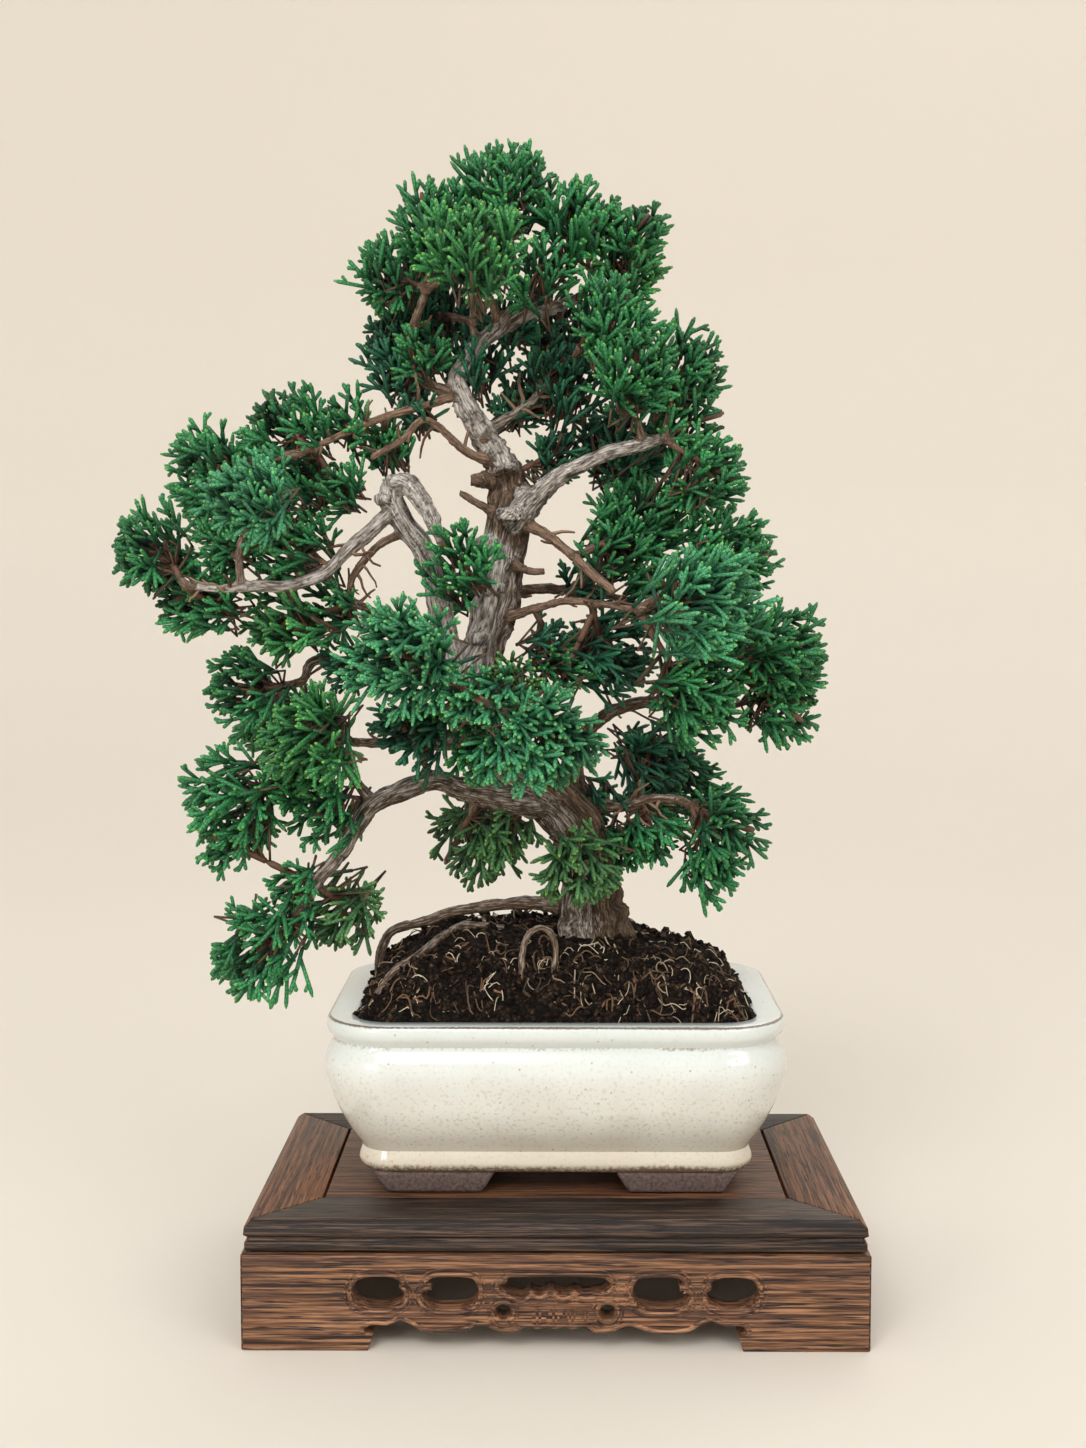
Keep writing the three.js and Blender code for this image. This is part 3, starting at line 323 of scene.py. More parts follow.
def glaze_material():
    """Stoneware with a cream glaze, dipped and fired: thick and glossy on the belly, pale blue where
    it pools on the lip, brown where it runs thin on edges, and bare purple-brown clay at the feet."""
    material, tree, shader = new_material("cream_glazed_stoneware")
    place = add_node(tree, "TexCoord").outputs["Object"]
    parts = add_node(tree, "SeparateXYZ", {0: place})
    thin, pool = (add_node(tree, "Attribute", attribute_name=name).outputs["Fac"]
                  for name in ("thin", "pool"))
    cloud = add_node(tree, "TexNoise", {"Vector": place, "Scale": 30.0, "Detail": 3.0})
    cream = add_node(tree, "ValToRGB", {0: cloud.outputs["Fac"]})
    set_stops(cream, (0.35, "d2d1ca"), (0.6, "dfdfd9"))
    specks = add_node(tree, "TexVoronoi", {"Vector": place, "Scale": 480.0})
    speck = add_node(tree, "MapRange", {0: specks.outputs["Distance"], 1: 0.1, 2: 0.22, 3: 1.0, 4: 0.0})
    chance = add_node(tree, "SeparateColor", {0: specks.outputs["Color"]})
    rare = add_node(tree, "MapRange", {0: chance.outputs[0], 1: 0.84, 2: 0.88, 3: 0.0, 4: 0.7})
    dots = add_node(tree, "Math", {0: speck.outputs[0], 1: rare.outputs[0]}, operation="MULTIPLY")
    mottle = add_node(tree, "TexNoise", {"Vector": place, "Scale": 900.0, "Detail": 3.0})
    fleck = add_node(tree, "MapRange", {0: mottle.outputs["Fac"], 1: 0.54, 2: 0.68, 3: 0.0, 4: 0.5})
    low, high, bare = (
        add_node(tree, "MapRange", {0: parts.outputs["Z"], 1: (POT_BOTTOM + begin) * MM,
                                    2: (POT_BOTTOM + end) * MM, 3: first, 4: last}).outputs[0]
        for begin, end, first, last in GLAZE_BANDS)
    ragged = add_node(tree, "Math", {0: cloud.outputs["Fac"], 1: mottle.outputs["Fac"]}, operation="ADD")
    wear = add_node(tree, "Math", {0: ragged.outputs[0], 1: thin}, operation="MULTIPLY")
    worn = add_node(tree, "MapRange", {0: wear.outputs[0], 1: 0.62, 2: 0.95, 3: 0.0, 4: 0.9})
    clay = add_node(tree, "ValToRGB", {0: mottle.outputs["Fac"]})
    set_stops(clay, (0.35, "453835"), (0.65, "66554f"))
    skin = cream.outputs[0]
    # The low band's tan is partly painted shade of the downward-facing lower belly
    for share, layer in ((fleck.outputs[0], colour("b5a68c")), (low, colour("bcae95")),
                         (high, colour("c8d1cf")), (pool, colour("dfe8e5")),
                         (dots.outputs[0], colour("9a7d5c")), (worn.outputs[0], colour("6b5440")),
                         (bare, clay.outputs[0])):
        skin = add_node(tree, "Mix", {0: share, 6: skin, 7: layer}, data_type="RGBA").outputs[2]
    dull = add_node(tree, "MapRange", {0: bare, 1: 0.0, 2: 1.0, 3: 0.2, 4: 0.85})
    glassy = add_node(tree, "MapRange", {0: bare, 1: 0.0, 2: 1.0, 3: 0.6, 4: 0.0})
    bump = add_node(tree, "Bump", {"Height": cloud.outputs["Fac"], "Strength": 0.25, "Distance": 0.6 * MM})
    set_inputs(tree, shader, {"Base Color": skin, "Roughness": dull.outputs[0],
                              "Normal": bump.outputs[0], "Coat Weight": glassy.outputs[0],
                              "Coat Roughness": 0.05})
    return material


def earth_material():
    """Peat and leaf mould, damp and loose, with dark brown crumbs: painted shade makes it nearly black in
    the crevices between them.
    """
    material, tree, shader = new_material("damp_peat_soil")
    place = add_node(tree, "TexCoord").outputs["Object"]
    crumbs = add_node(tree, "TexNoise", {"Vector": place, "Scale": 320.0, "Detail": 6.0,
                                         "Roughness": 0.75})
    bent = add_node(tree, "Mix", {0: 0.004, 4: place, 5: crumbs.outputs["Color"]},
                    data_type="VECTOR")
    # Crumbs are about 2 mm across
    lumps = add_node(tree, "TexVoronoi", {"Vector": bent.outputs[1], "Scale": 430.0},
                     feature="DISTANCE_TO_EDGE")
    # Painted shade: colour falls to a quarter along the edges between crumbs, in the crevices; the same
    # mask raises the crumbs' bump
    painted_crevice_shade = add_node(tree, "MapRange", {0: lumps.outputs["Distance"], 1: 0.0, 2: 0.16, 3: 0.25, 4: 1.0})
    ramp = add_node(tree, "ValToRGB", {0: crumbs.outputs["Fac"]})
    set_stops(ramp, (0.35, "0c0907"), (0.52, "2b2018"), (0.66, "5d4836"))
    shaded = add_node(tree, "Mix", {0: 1.0, 6: ramp.outputs[0], 7: painted_crevice_shade.outputs[0]},
                      data_type="RGBA", blend_type="MULTIPLY")
    height = add_node(tree, "Math", {0: crumbs.outputs["Fac"], 1: painted_crevice_shade.outputs[0]}, operation="ADD")
    bump = add_node(tree, "Bump", {"Height": height.outputs[0], "Strength": 1.0, "Distance": 1.3 * MM})
    set_inputs(tree, shader, {"Base Color": shaded.outputs[2], "Normal": bump.outputs[0],
                              "Roughness": 0.95, "Specular IOR Level": 0.2})
    return material


def fibre_material(name, dark, light):
    """Dry roots and bits of bark on the soil, pale straw to brown, as they fell."""
    material, tree, shader = new_material(name)
    place = add_node(tree, "TexCoord").outputs["Object"]
    patches = add_node(tree, "TexNoise", {"Vector": place, "Scale": 90.0, "Detail": 3.0})
    ramp = add_node(tree, "ValToRGB", {0: patches.outputs["Fac"]})
    set_stops(ramp, (0.38, dark), (0.62, light))
    set_inputs(tree, shader, {"Base Color": ramp.outputs[0], "Roughness": 0.8})
    return material


def net_material():
    """Black polythene net, moulded, with a low sheen."""
    material, tree, shader = new_material("moulded_black_net")
    place = add_node(tree, "TexCoord").outputs["Object"]
    grain = add_node(tree, "TexNoise", {"Vector": place, "Scale": 1500.0})
    ramp = add_node(tree, "ValToRGB", {0: grain.outputs["Fac"]})
    set_stops(ramp, (0.3, "141414"), (0.7, "242424"))
    set_inputs(tree, shader, {"Base Color": ramp.outputs[0], "Roughness": 0.6})
    return material


# Stand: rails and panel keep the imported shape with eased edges, aprons are carved anew round it

STAND_LENGTH = 197
STAND_DEPTH = 120
APRON_TOP = 31
APRON_THICKNESS = 8
EDGE_EASE = 0.5
# Each edge is (along, height) in mm. A lower edge runs from the apron's middle to its end.
LONG_LOWER_EDGE = (
    (0, 6.95), (2.7, 7.5), (5.5, 7), (8.2, 7.6), (10.2, 7.3), (11.2, 6.3), (12.6, 5.8), (17.6, 6.1),
    (21, 7.6), (23.5, 8.1), (26, 7.3), (29.5, 6.1), (35, 5.5), (40.6, 6.1), (43.2, 7), (45.3, 8.4),
    (48.5, 9.7), (50.8, 8.8), (53.1, 8.1), (57.2, 8.2), (59.6, 7.2), (59.2, 5.8),
)
LONG_FOOT = ((57.1, 5.1), (58.7, 0))
LONG_OVAL = (
    (48.6, 15.2), (52, 13.9), (55.4, 13.6), (58.6, 14), (62.2, 15.6), (63.4, 18.8), (62, 22.2),
    (58.8, 23.5), (55, 23.7), (51.8, 23.5), (48.6, 22.2), (48.9, 20.4), (47.4, 18.6), (47.6, 16.6),
)
LONG_KIDNEY = (
    (25.6, 15.2), (28.6, 13.8), (33, 13.4), (37.8, 13.7), (40.8, 15.4), (41.7, 18), (39.6, 19.8),
    (38.4, 20.8), (39.8, 21.8), (38, 23.4), (33, 23.7), (28, 23.5), (25.2, 22.4), (24.2, 18.8),
)
LONG_MIDDLE = (
    (-17.4, 20.6), (-14.7, 18.7), (-11, 17.3), (-9.2, 18), (-7.7, 19.3), (-6.3, 18.7), (-4.8, 18.3),
    (-3, 19.2), (-1.4, 19.7), (0.4, 18.9), (2, 18), (4.2, 18.5), (6, 19.3), (7.6, 18.6), (9.4, 18.2),
    (12.6, 18.6), (15.4, 19.6), (17.3, 20.8), (16.4, 22.4), (14.2, 23.5), (7, 23.8), (0, 23.9),
    (-7, 23.8), (-13.6, 23.6), (-15, 23), (-15.2, 21.9), (-16.4, 21.6),
)
LONG_EYE = (16.3, 12.7, 2.35)
SHORT_LOWER_EDGE = (
    (0, 6.95), (3, 7.5), (6.2, 7.2), (9, 7.2), (12, 6), (16, 5.6), (20, 6.2), (24, 8.2), (28, 9.6),
    (30.2, 8.7), (32.4, 8.1), (35.6, 8.2), (37.8, 7.2), (37.4, 5.8),
)
SHORT_FOOT = ((35.4, 5.1), (37, 0))
SHORT_OVAL = (
    (22, 15.2), (25, 13.9), (28.5, 13.6), (32, 14), (35.4, 15.6), (36.5, 18.8), (35.2, 22.2), (32, 23.5),
    (28.5, 23.7), (25, 23.5), (22.2, 22.2), (21, 18.8),
)
SHORT_MIDDLE = (
    (-12.5, 20.6), (-10.5, 18.2), (-6, 17.3), (-3, 18), (0, 18.7), (3, 18), (6, 17.3), (10.5, 18.2),
    (12.5, 20.6), (11.6, 22.6), (9.6, 23.6), (0, 23.9), (-9.6, 23.6), (-11.6, 22.6),
)
SHORT_EYE = (12, 12.4, 2.05)
BEADS = ((1.0, 0.8), (2.5, 0.42))
# Raised bars of the key fret between the eyes: from and to, as (along, height)
FRET_BARS = (
    ((-13, 12.9), (-7.3, 12.9)), ((-11.4, 11.4), (-7.3, 11.4)), ((-12.8, 10), (-7.3, 10)),
    ((-11.8, 8.8), (-7.3, 8.8)), ((-5.7, 14.2), (-5.7, 8)), ((-4.6, 13.3), (-1.6, 13.3)),
    ((-4.4, 11.9), (-3.1, 12.5)), ((-3.1, 12.5), (-2.2, 11.6)), ((-4.4, 10.7), (-2.9, 10.7)),
    ((-4.4, 9.6), (-2.9, 9.6)), ((-0.6, 14.4), (-0.6, 8.6)), ((0.6, 13.3), (2.7, 13.3)),
    ((2.7, 13.3), (2.7, 11.6)), ((0.9, 11.8), (0.9, 9.9)), ((0.9, 9.9), (3.9, 9.9)), ((4, 12.4), (4, 10.6)),
    ((5.3, 13.9), (5.3, 9.4)), ((6.2, 12.3), (8.8, 12.3)), ((6.2, 10.8), (8, 10.8)),
    ((9.3, 13.2), (9.3, 9.6)), ((10.3, 12.6), (12.2, 12.6)), ((10.3, 11.2), (12.4, 11.2)),
    ((10.3, 9.9), (11.8, 9.9)),
)
FRET_THICKNESS = 0.5
# How far the beads' middle line lies under the apron's face
BEAD_SINK = 0.15
BOARD_EASE = 0.3


def soft_board(node, material, slot):
    piece = cad_copy(node, node + "_finished")
    apply_modifier(piece, "BEVEL", width=BOARD_EASE * MM, segments=2, limit_method="ANGLE",
                   angle_limit=math.radians(25))
    shade_smooth(piece, 35)
    finish_piece(piece, material, slot, node)


def bent_through(points, closed, steps=4):
    """A smooth line through the points."""
    flat = [Vector(p) for p in points]
    count = len(flat)
    bent = []
    for i in range(count if closed else count - 1):
        if closed:
            a, b, c, d = (flat[(i + k) % count] for k in (-1, 0, 1, 2))
        else:
            a, b, c, d = (flat[min(max(i + k, 0), count - 1)] for k in (-1, 0, 1, 2))
        for step in range(steps):
            t = step / steps
            bent.append(0.5 * (2 * b + (c - a) * t + (2 * a - 5 * b + 4 * c - d) * t * t
                               + (3 * b - a - 3 * c + d) * t * t * t))
    if not closed:
        bent.append(flat[-1])
    return bent


def mirrored(points):
    return [Vector((-p[0], p[1])) for p in reversed(points)]


def round_eye(eye):
    x, z, radius = eye
    turns = [k / 24 * 2 * math.pi for k in range(24)]
    return [Vector((x + radius * math.cos(turn), z + radius * math.sin(turn))) for turn in turns]


def pushed_out(points, closed, offset):
    """A line moved to its left-hand outside by offset: away from a hole that runs anticlockwise."""
    count = len(points)
    moved = []
    for i in range(count):
        if closed:
            way = points[(i + 1) % count] - points[i - 1]
        else:
            way = points[min(i + 1, count - 1)] - points[max(i - 1, 0)]
        way.normalize()
        moved.append(points[i] + Vector((way.y, -way.x)) * offset)
    return moved


def add_spline(curve, points, closed, thickness=1.0):
    """Adds a line of points in metres to a curve's data, with one thickness or one for each point."""
    spline = curve.splines.new("POLY")
    spline.points.add(len(points) - 1)
    for target, point, size in zip(spline.points, points, np.broadcast_to(thickness, len(points))):
        target.co = (*point, 1)
        target.radius = size
    spline.use_cyclic_u = closed


def tube_curve(name, resolution):
    curve = bpy.data.curves.new(name, "CURVE")
    curve.dimensions = "3D"
    curve.bevel_depth = MM
    curve.bevel_resolution = resolution
    curve.use_fill_caps = True
    return curve


def curve_to_mesh(name, curve):
    piece = new_object(name, curve)
    select_only(piece)
    bpy.ops.object.convert(target="MESH")
    return named(name)


def carved_apron(node, length, face_offset, outward, design, material):
    lower_edge, foot, holes, eye = design
    end = length / 2 - 0.3
    lower = bent_through(lower_edge, False)
    right = lower + [Vector(p) for p in foot] + [Vector((end, 0)), Vector((end, APRON_TOP - 0.3))]
    outline = right + mirrored(right)[:-1]
    openings = [bent_through(hole, True) for hole in holes[:1]]
    for hole in holes[1:]:
        bent = bent_through(hole, True)
        openings += [bent, mirrored(bent)]
    openings += [round_eye(eye), mirrored(round_eye(eye))]

    board = bpy.data.curves.new("board", "CURVE")
    board.dimensions = "2D"
    board.fill_mode = "BOTH"
    board.extrude = (APRON_THICKNESS / 2 - EDGE_EASE) * MM
    board.bevel_depth = EDGE_EASE * MM
    board.bevel_resolution = 1
    board.offset = -EDGE_EASE * MM
    for points in [outline, *openings]:
        add_spline(board, [(p.x * MM, p.y * MM, 0) for p in points], True)
    pieces = [curve_to_mesh("board", board)]
    bpy.ops.object.mode_set(mode="EDIT")
    bpy.ops.mesh.select_all(action="SELECT")
    bpy.ops.mesh.remove_doubles(threshold=0.005 * MM)
    face_out()
    # The ends are mitred: every step inward is a step shorter
    flat = points_of(pieces[0].data)
    at_end = np.abs(flat[:, 0]) > (end - 1.5 * EDGE_EASE) * MM
    inward = APRON_THICKNESS / 2 * MM - flat[:, 2]
    flat[at_end, 0] -= (np.sign(flat[:, 0]) * inward)[at_end]
    flat[:, 2] -= APRON_THICKNESS / 2 * MM
    set_points(pieces[0].data, flat)

    beads = tube_curve("beads", 2)
    for points in openings:
        for offset, thickness in BEADS:
            path = pushed_out(points, True, offset)
            add_spline(beads, [(p.x * MM, p.y * MM, -BEAD_SINK * MM) for p in path], True, thickness)
    edge = pushed_out(mirrored(lower)[:-1] + lower, False, -BEADS[0][0])
    add_spline(beads, [(p.x * MM, p.y * MM, -BEAD_SINK * MM) for p in edge], False, BEADS[0][1])
    if length == STAND_LENGTH:
        for bar in FRET_BARS:
            add_spline(beads, [(x * MM, z * MM, 0) for x, z in bar], False, FRET_THICKNESS)
    pieces.append(curve_to_mesh("beads", beads))

    apron = join(node + "_carved", pieces)
    flat = points_of(apron.data)
    outward = Vector(outward)
    along_way = Vector((0, 0, 1)).cross(outward)
    middle = PLAN_SHIFT + outward * face_offset * MM
    turned = flat[:, :1] * np.array(along_way) + flat[:, 1:2] * np.array((0, 0, 1))
    set_points(apron.data, turned + flat[:, 2:] * np.array(outward) + np.array(middle))
    shade_smooth(apron, 40)
    finish_piece(apron, material, "stand_carved_wood", node)


def make_stand():
    panel = wood_material("oiled_brown_hardwood", "2b1a11", "5c3a25", "815638", False)
    side_rail = wood_material("oiled_brown_hardwood_side", "2b1a11", "5c3a25", "815638", True)
    long_rail = wood_material("oiled_dark_hardwood", "100a07", "261a14", "5a4435", False)
    carved = [wood_material(name, "26160f", "61412d", "996f50", turned)
              for name, turned in (("carved_red_hardwood", False), ("carved_red_hardwood_side", True))]
    for side in ("front", "back"):
        soft_board("stand_rail_" + side, long_rail, "stand_top_wood")
    for side in ("right", "left"):
        soft_board("stand_rail_" + side, side_rail, "stand_top_wood")
    soft_board("stand_panel", panel, "stand_top_wood")
    long_design = (LONG_LOWER_EDGE, LONG_FOOT, (LONG_MIDDLE, LONG_OVAL, LONG_KIDNEY), LONG_EYE)
    short_design = (SHORT_LOWER_EDGE, SHORT_FOOT, (SHORT_MIDDLE, SHORT_OVAL), SHORT_EYE)
    for side, way in (("front", (0, -1, 0)), ("back", (0, 1, 0))):
        carved_apron("stand_apron_" + side, STAND_LENGTH, STAND_DEPTH / 2, way, long_design, carved[0])
    for side, way in (("right", (1, 0, 0)), ("left", (-1, 0, 0))):
        carved_apron("stand_apron_" + side, STAND_DEPTH, STAND_LENGTH / 2, way, short_design, carved[1])


# Pot: one skin from the foot ring up the outside, over the lip and down to the floor

POT_LENGTH = 150
POT_DEPTH = 106
POT_CORNER = 22
CORNER_STEPS = 22
# Height over the pot's underside, and how far the skin is pulled in from the rim's edge
POT_SKIN = (
    (6.5, 14), (6.9, 12.4), (7.5, 11.5), (9, 10.2), (10.4, 10.1), (12, 10.6), (14, 11.4), (16, 10.4),
    (19, 8), (22.5, 5.9), (26, 4), (30, 2.2), (34, 0.8), (38, -0.4), (41.5, -1), (44, -0.8), (46.4, 0.1),
    (48.4, 1.2), (49.7, 2.0), (50.6, 2.1), (51.5, 1.5), (52.6, 0.4), (54.4, -0.2), (56.4, 0.0),
    (57.1, 0.35), (57.45, 0.65), (57.65, 1.1), (57.8, 2), (57.6, 4.6), (57.3, 8.4), (56.7, 9.6),
    (55.4, 9.9), (50, 9.9), (30, 10), (18, 14), (12, 18), (11, 20),
)
# The glaze pools round this row of the lip, over this many rows to either side
POOL_ROW = 29
POOL_ROWS = 5
# How thin the glaze runs on the rows of the skin that are edges
WEAR_ROWS = {1: 0.9, 2: 1, 3: 0.8, 4: 0.5, 18: 0.62, 19: 0.68, 24: 0.75, 25: 1.25, 26: 0.8}
DRAIN_X = 34
DRAIN_RADIUS = 5.5
FOOT_SIZE = (40, 21, 7.1)
FOOT_AT = (39.5, 31)
# A foot's underside is shorter and narrower than its top
FOOT_TAPER = (0.78, 0.94)
FOOT_EASE = 1.4


def pot_outline(inset, angle):
    bend = POT_CORNER - inset
    x = math.copysign(POT_LENGTH / 2 - POT_CORNER, math.cos(angle)) + bend * math.cos(angle)
    y = math.copysign(POT_DEPTH / 2 - POT_CORNER, math.sin(angle)) + bend * math.sin(angle)
    return x, y


def make_pot():
    sides = 4 * CORNER_STEPS
    bpy.ops.object.select_all(action="DESELECT")
    bpy.ops.mesh.primitive_circle_add(vertices=sides, radius=1, fill_type="NGON")
    pot = named("glazed_pot")
    bpy.ops.object.mode_set(mode="EDIT")
    for _ in POT_SKIN[1:]:
        bpy.ops.mesh.extrude_region_move(TRANSFORM_OT_translate={"value": (0, 0, 1)})
    bpy.ops.object.mode_set(mode="OBJECT")
    grid = points_of(pot.data)
    rows = np.rint(grid[:, 2]).astype(int)
    thin, pool = np.zeros(len(grid)), np.zeros(len(grid))
    for index, (x, y, _) in enumerate(grid):
        row = rows[index]
        height, inset = POT_SKIN[row]
        step = math.floor((math.atan2(y, x) % (2 * math.pi)) / (2 * math.pi) * sides + 0.01)
        corner = step // CORNER_STEPS
        angle = (corner + (step % CORNER_STEPS) / (CORNER_STEPS - 1) * 0.998 + 0.001) * math.pi / 2
        px, py = pot_outline(inset, angle)
        grid[index] = placed(px, py + POT_BACK, POT_BOTTOM + height)
        thin[index] = WEAR_ROWS.get(row, 0)
        pool[index] = max(0, 1 - abs(row - POOL_ROW) / POOL_ROWS)
    set_points(pot.data, grid)
    set_attribute(pot.data, "thin", thin)
    set_attribute(pot.data, "pool", pool)
    select_only(pot)
    bpy.ops.object.mode_set(mode="EDIT")
    face_out()
    for side in (-1, 1):
        bpy.ops.object.select_all(action="DESELECT")
        bpy.ops.mesh.primitive_cylinder_add(vertices=32, radius=DRAIN_RADIUS * MM, depth=20 * MM,
                                            location=placed(side * DRAIN_X, POT_BACK, POT_BOTTOM + 11))
        drill = named("drill")
        apply_modifier(pot, "BOOLEAN", object=drill, operation="DIFFERENCE", solver="EXACT")
        bpy.data.objects.remove(drill)
    feet = [pot_foot(x, y) for x in (-1, 1) for y in (-1, 1)]
    pot = join("glazed_pot", [pot, *feet])
    shade_smooth(pot, 38)
    finish_piece(pot, glaze_material(), "cream_glaze", "pot")


def pot_foot(side_x, side_y):
    """A low clay foot with sloping, rounded ends, sunk into the pot's underside."""
    bpy.ops.object.select_all(action="DESELECT")
    x, y = side_x * FOOT_AT[0], side_y * FOOT_AT[1] + POT_BACK
    bpy.ops.mesh.primitive_cube_add(size=1, location=placed(x, y, POT_BOTTOM + FOOT_SIZE[2] / 2))
    foot = named("foot")
    foot.scale = [size * MM for size in FOOT_SIZE]
    bpy.ops.object.transform_apply(location=True, rotation=True, scale=True)
    middle = placed(x, y, 0)
    points = points_of(foot.data)
    low = points[:, 2] < (POT_BOTTOM + 1) * MM
    for axis, taper in enumerate(FOOT_TAPER):
        points[low, axis] = middle[axis] + (points[low, axis] - middle[axis]) * taper
    set_points(foot.data, points)
    apply_modifier(foot, "BEVEL", width=FOOT_EASE * MM, segments=3, limit_method="ANGLE",
                   angle_limit=math.radians(20))
    return foot


def make_screens():
    net = net_material()
    for side in ("left", "right"):
        node = "drain_screen_" + side
        screen = cad_copy(node, "net_" + side)
        apply_modifier(screen, "BEVEL", width=0.15 * MM, segments=1, limit_method="ANGLE")
        finish_piece(screen, net, "plastic_net", node)


# Soil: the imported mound, made fine and broken up, with crumbs, bark bits and rootlets on it

SOIL_VOXEL = 1.5
# Height of the mound's edge over the pot's underside
SOIL_EDGE = 50
# Lumps of the ground: breadth and height in mm
SOIL_LUMPS = ((8, 2.0), (3.6, 2.2), (1.9, 1.2))
# The right slope has settled: plan place, breadth and depth in mm
SETTLED = (39, 15, 4)
# Soil this far under the edge is hidden in the pot and keeps this share of its faces
HIDDEN_DEPTH = 6
HIDDEN_SHARE = 0.06


def make_soil():
    soil = cad_copy("soil", "peat_soil")
    apply_modifier(soil, "REMESH", mode="VOXEL", voxel_size=SOIL_VOXEL * MM)
    points = points_of(soil.data)
    normals = np.array([v.normal[:] for v in soil.data.vertices])
    rim = (POT_BOTTOM + SOIL_EDGE) * MM
    place, breadth, depth = SETTLED
    for index, point in enumerate(points):
        if point[2] < rim or normals[index, 2] < 0.15:
            continue
        at = Vector(point) * 1000
        lump = sum(noise.noise(at / size) * height for size, height in SOIL_LUMPS)
        points[index] += normals[index] * lump * MM
        slope = (point[0] - PLAN_SHIFT.x) / MM / breadth - place / breadth
        points[index, 2] -= depth * MM * math.exp(-slope ** 2)
    set_points(soil.data, points)
    select_only(soil)
    bpy.ops.object.mode_set(mode="EDIT")
    bpy.ops.mesh.select_mode(type="FACE")
    bpy.ops.object.mode_set(mode="OBJECT")
    for face in soil.data.polygons:
        face.select = face.center.z < rim - HIDDEN_DEPTH * MM
    bpy.ops.object.mode_set(mode="EDIT")
    bpy.ops.mesh.decimate(ratio=HIDDEN_SHARE)
    bpy.ops.object.mode_set(mode="OBJECT")
    tree = BVHTree.FromPolygons([v.co[:] for v in soil.data.vertices],
                                [face.vertices[:] for face in soil.data.polygons])
    crumbs = make_crumbs(tree)
    soil = join("peat_soil", [soil, *crumbs])
    finish_piece(soil, earth_material(), "soil", "soil")
    make_rootlets(tree)
    make_chips(tree)


# Bits fall within these half sizes of the pot, some anywhere and the others on the front slope
SOIL_REACH = (66, 44)
FRONT_SLOPE = -25
ANYWHERE_SHARE = 0.6
FULL_TURN = 6.28


def ground_at(tree, x, y):
    """The soil's surface at a plan place, or None past its edge."""
    hit = tree.ray_cast(placed(x, y, 200), Vector((0, 0, -1)))[0]
    if hit is None or hit.z < (POT_BOTTOM + SOIL_EDGE - 2) * MM:
        return None
    return hit


def soil_place(tree):
    wide, deep = SOIL_REACH
    while True:
        x = draw.uniform(-wide, wide)
        y = draw.uniform(-deep, deep if draw.random() < ANYWHERE_SHARE else FRONT_SLOPE) + POT_BACK
        hit = ground_at(tree, x, y)
        if hit is not None:
            return x, y, hit


# Large and small crumbs: how many, and their least and greatest radius in mm
CRUMB_COUNTS = ((750, 1.0, 2.3), (1150, 0.5, 1.1))
CRUMB_KINDS = 5
CRUMB_SHAPE = (1, 0.8, 0.65)


def make_crumbs(tree):
    kinds = []
    for kind in range(CRUMB_KINDS):
        bpy.ops.object.select_all(action="DESELECT")
        bpy.ops.mesh.primitive_ico_sphere_add(subdivisions=1, radius=1)
        crumb = named("crumb")
        points = points_of(crumb.data)
        for index, point in enumerate(points):
            push = 1 + 0.75 * noise.noise(Vector(point) * 1.3 + Vector((kind * 9, 0, 0)))
            points[index] = point * push * CRUMB_SHAPE
        set_points(crumb.data, points)
        kinds.append(crumb)
    crumbs = []
    for chosen, (count, small, large) in zip((kinds[:3], kinds[3:]), CRUMB_COUNTS):
        for _ in range(count):
            _, _, hit = soil_place(tree)
            size = draw.uniform(small, large) * MM
            mesh = draw.choice(chosen).data.copy()
            angle = draw.uniform(0, FULL_TURN)
            turn = Matrix.Rotation(angle, 4, any_way())
            lift = Vector((0, 0, size * 0.25))
            mesh.transform(Matrix.Translation(hit + lift) @ turn @ Matrix.Scale(size, 4))
            crumbs.append(new_object("crumb", mesh))
    for kind in kinds:
        bpy.data.objects.remove(kind)
    return crumbs


# Piece name, how many, least and greatest radius in mm, dark and light hex colour
ROOTLET_SETS = (
    ("pale_rootlets", 150, 0.12, 0.22, "8f7d64", "d3c6ad"),
    ("brown_rootlets", 230, 0.14, 0.32, "433327", "75593f"),
)
ROOTLET_STEP = 1.15
# How high a rootlet's ends lie over the ground, and how far it arches off it, in mm
ROOTLET_LIFT = 0.35
ROOTLET_ARCH = (0.2, 2.4)
ROOTLET_POINTS = (6, 11)


def rootlet(tree, points_wanted):
    """A thin root that wanders over the soil and arches off it here and there."""
    x, y, _ = soil_place(tree)
    heading = draw.uniform(0, 2 * math.pi)
    turn = draw.uniform(-0.3, 0.3)
    arch = draw.uniform(*ROOTLET_ARCH)
    path = []
    for step in range(points_wanted):
        hit = ground_at(tree, x, y)
        if hit is None:
            break
        share = step / (points_wanted - 1)
        lift = ROOTLET_LIFT + arch * math.sin(math.pi * share) ** 2
        path.append(hit + Vector((0, 0, lift * MM)))
        turn = max(-0.7, min(0.7, turn + draw.uniform(-0.4, 0.4)))
        heading += turn
        x += ROOTLET_STEP * math.cos(heading)
        y += ROOTLET_STEP * math.sin(heading)
    return path


def make_rootlets(tree):
    for name, count, thin, thick, dark, light in ROOTLET_SETS:
        curve = tube_curve(name, 0)
        made = 0
        while made < count:
            path = rootlet(tree, draw.randint(*ROOTLET_POINTS))
            if len(path) < 5:
                continue
            # A moving average takes out the steps of the rough ground
            smooth = [path[0]] + [(a + b * 2 + c) / 4 for a, b, c in zip(path, path[1:], path[2:])]
            add_spline(curve, smooth, False, draw.uniform(thin, thick))
            made += 1
        roots = curve_to_mesh(name, curve)
        shade_smooth(roots, 60)
        finish_piece(roots, fibre_material(name.replace("rootlets", "dry_root"), dark, light), "soil")


CHIP_COUNT = 70
# How far a bit's corners are pushed aside, as a share of its size
CHIP_SKEW = 0.12
# Least and greatest length, width and thickness in mm
CHIP_SIZES = ((2.2, 6), (0.8, 1.8), (0.3, 0.6))


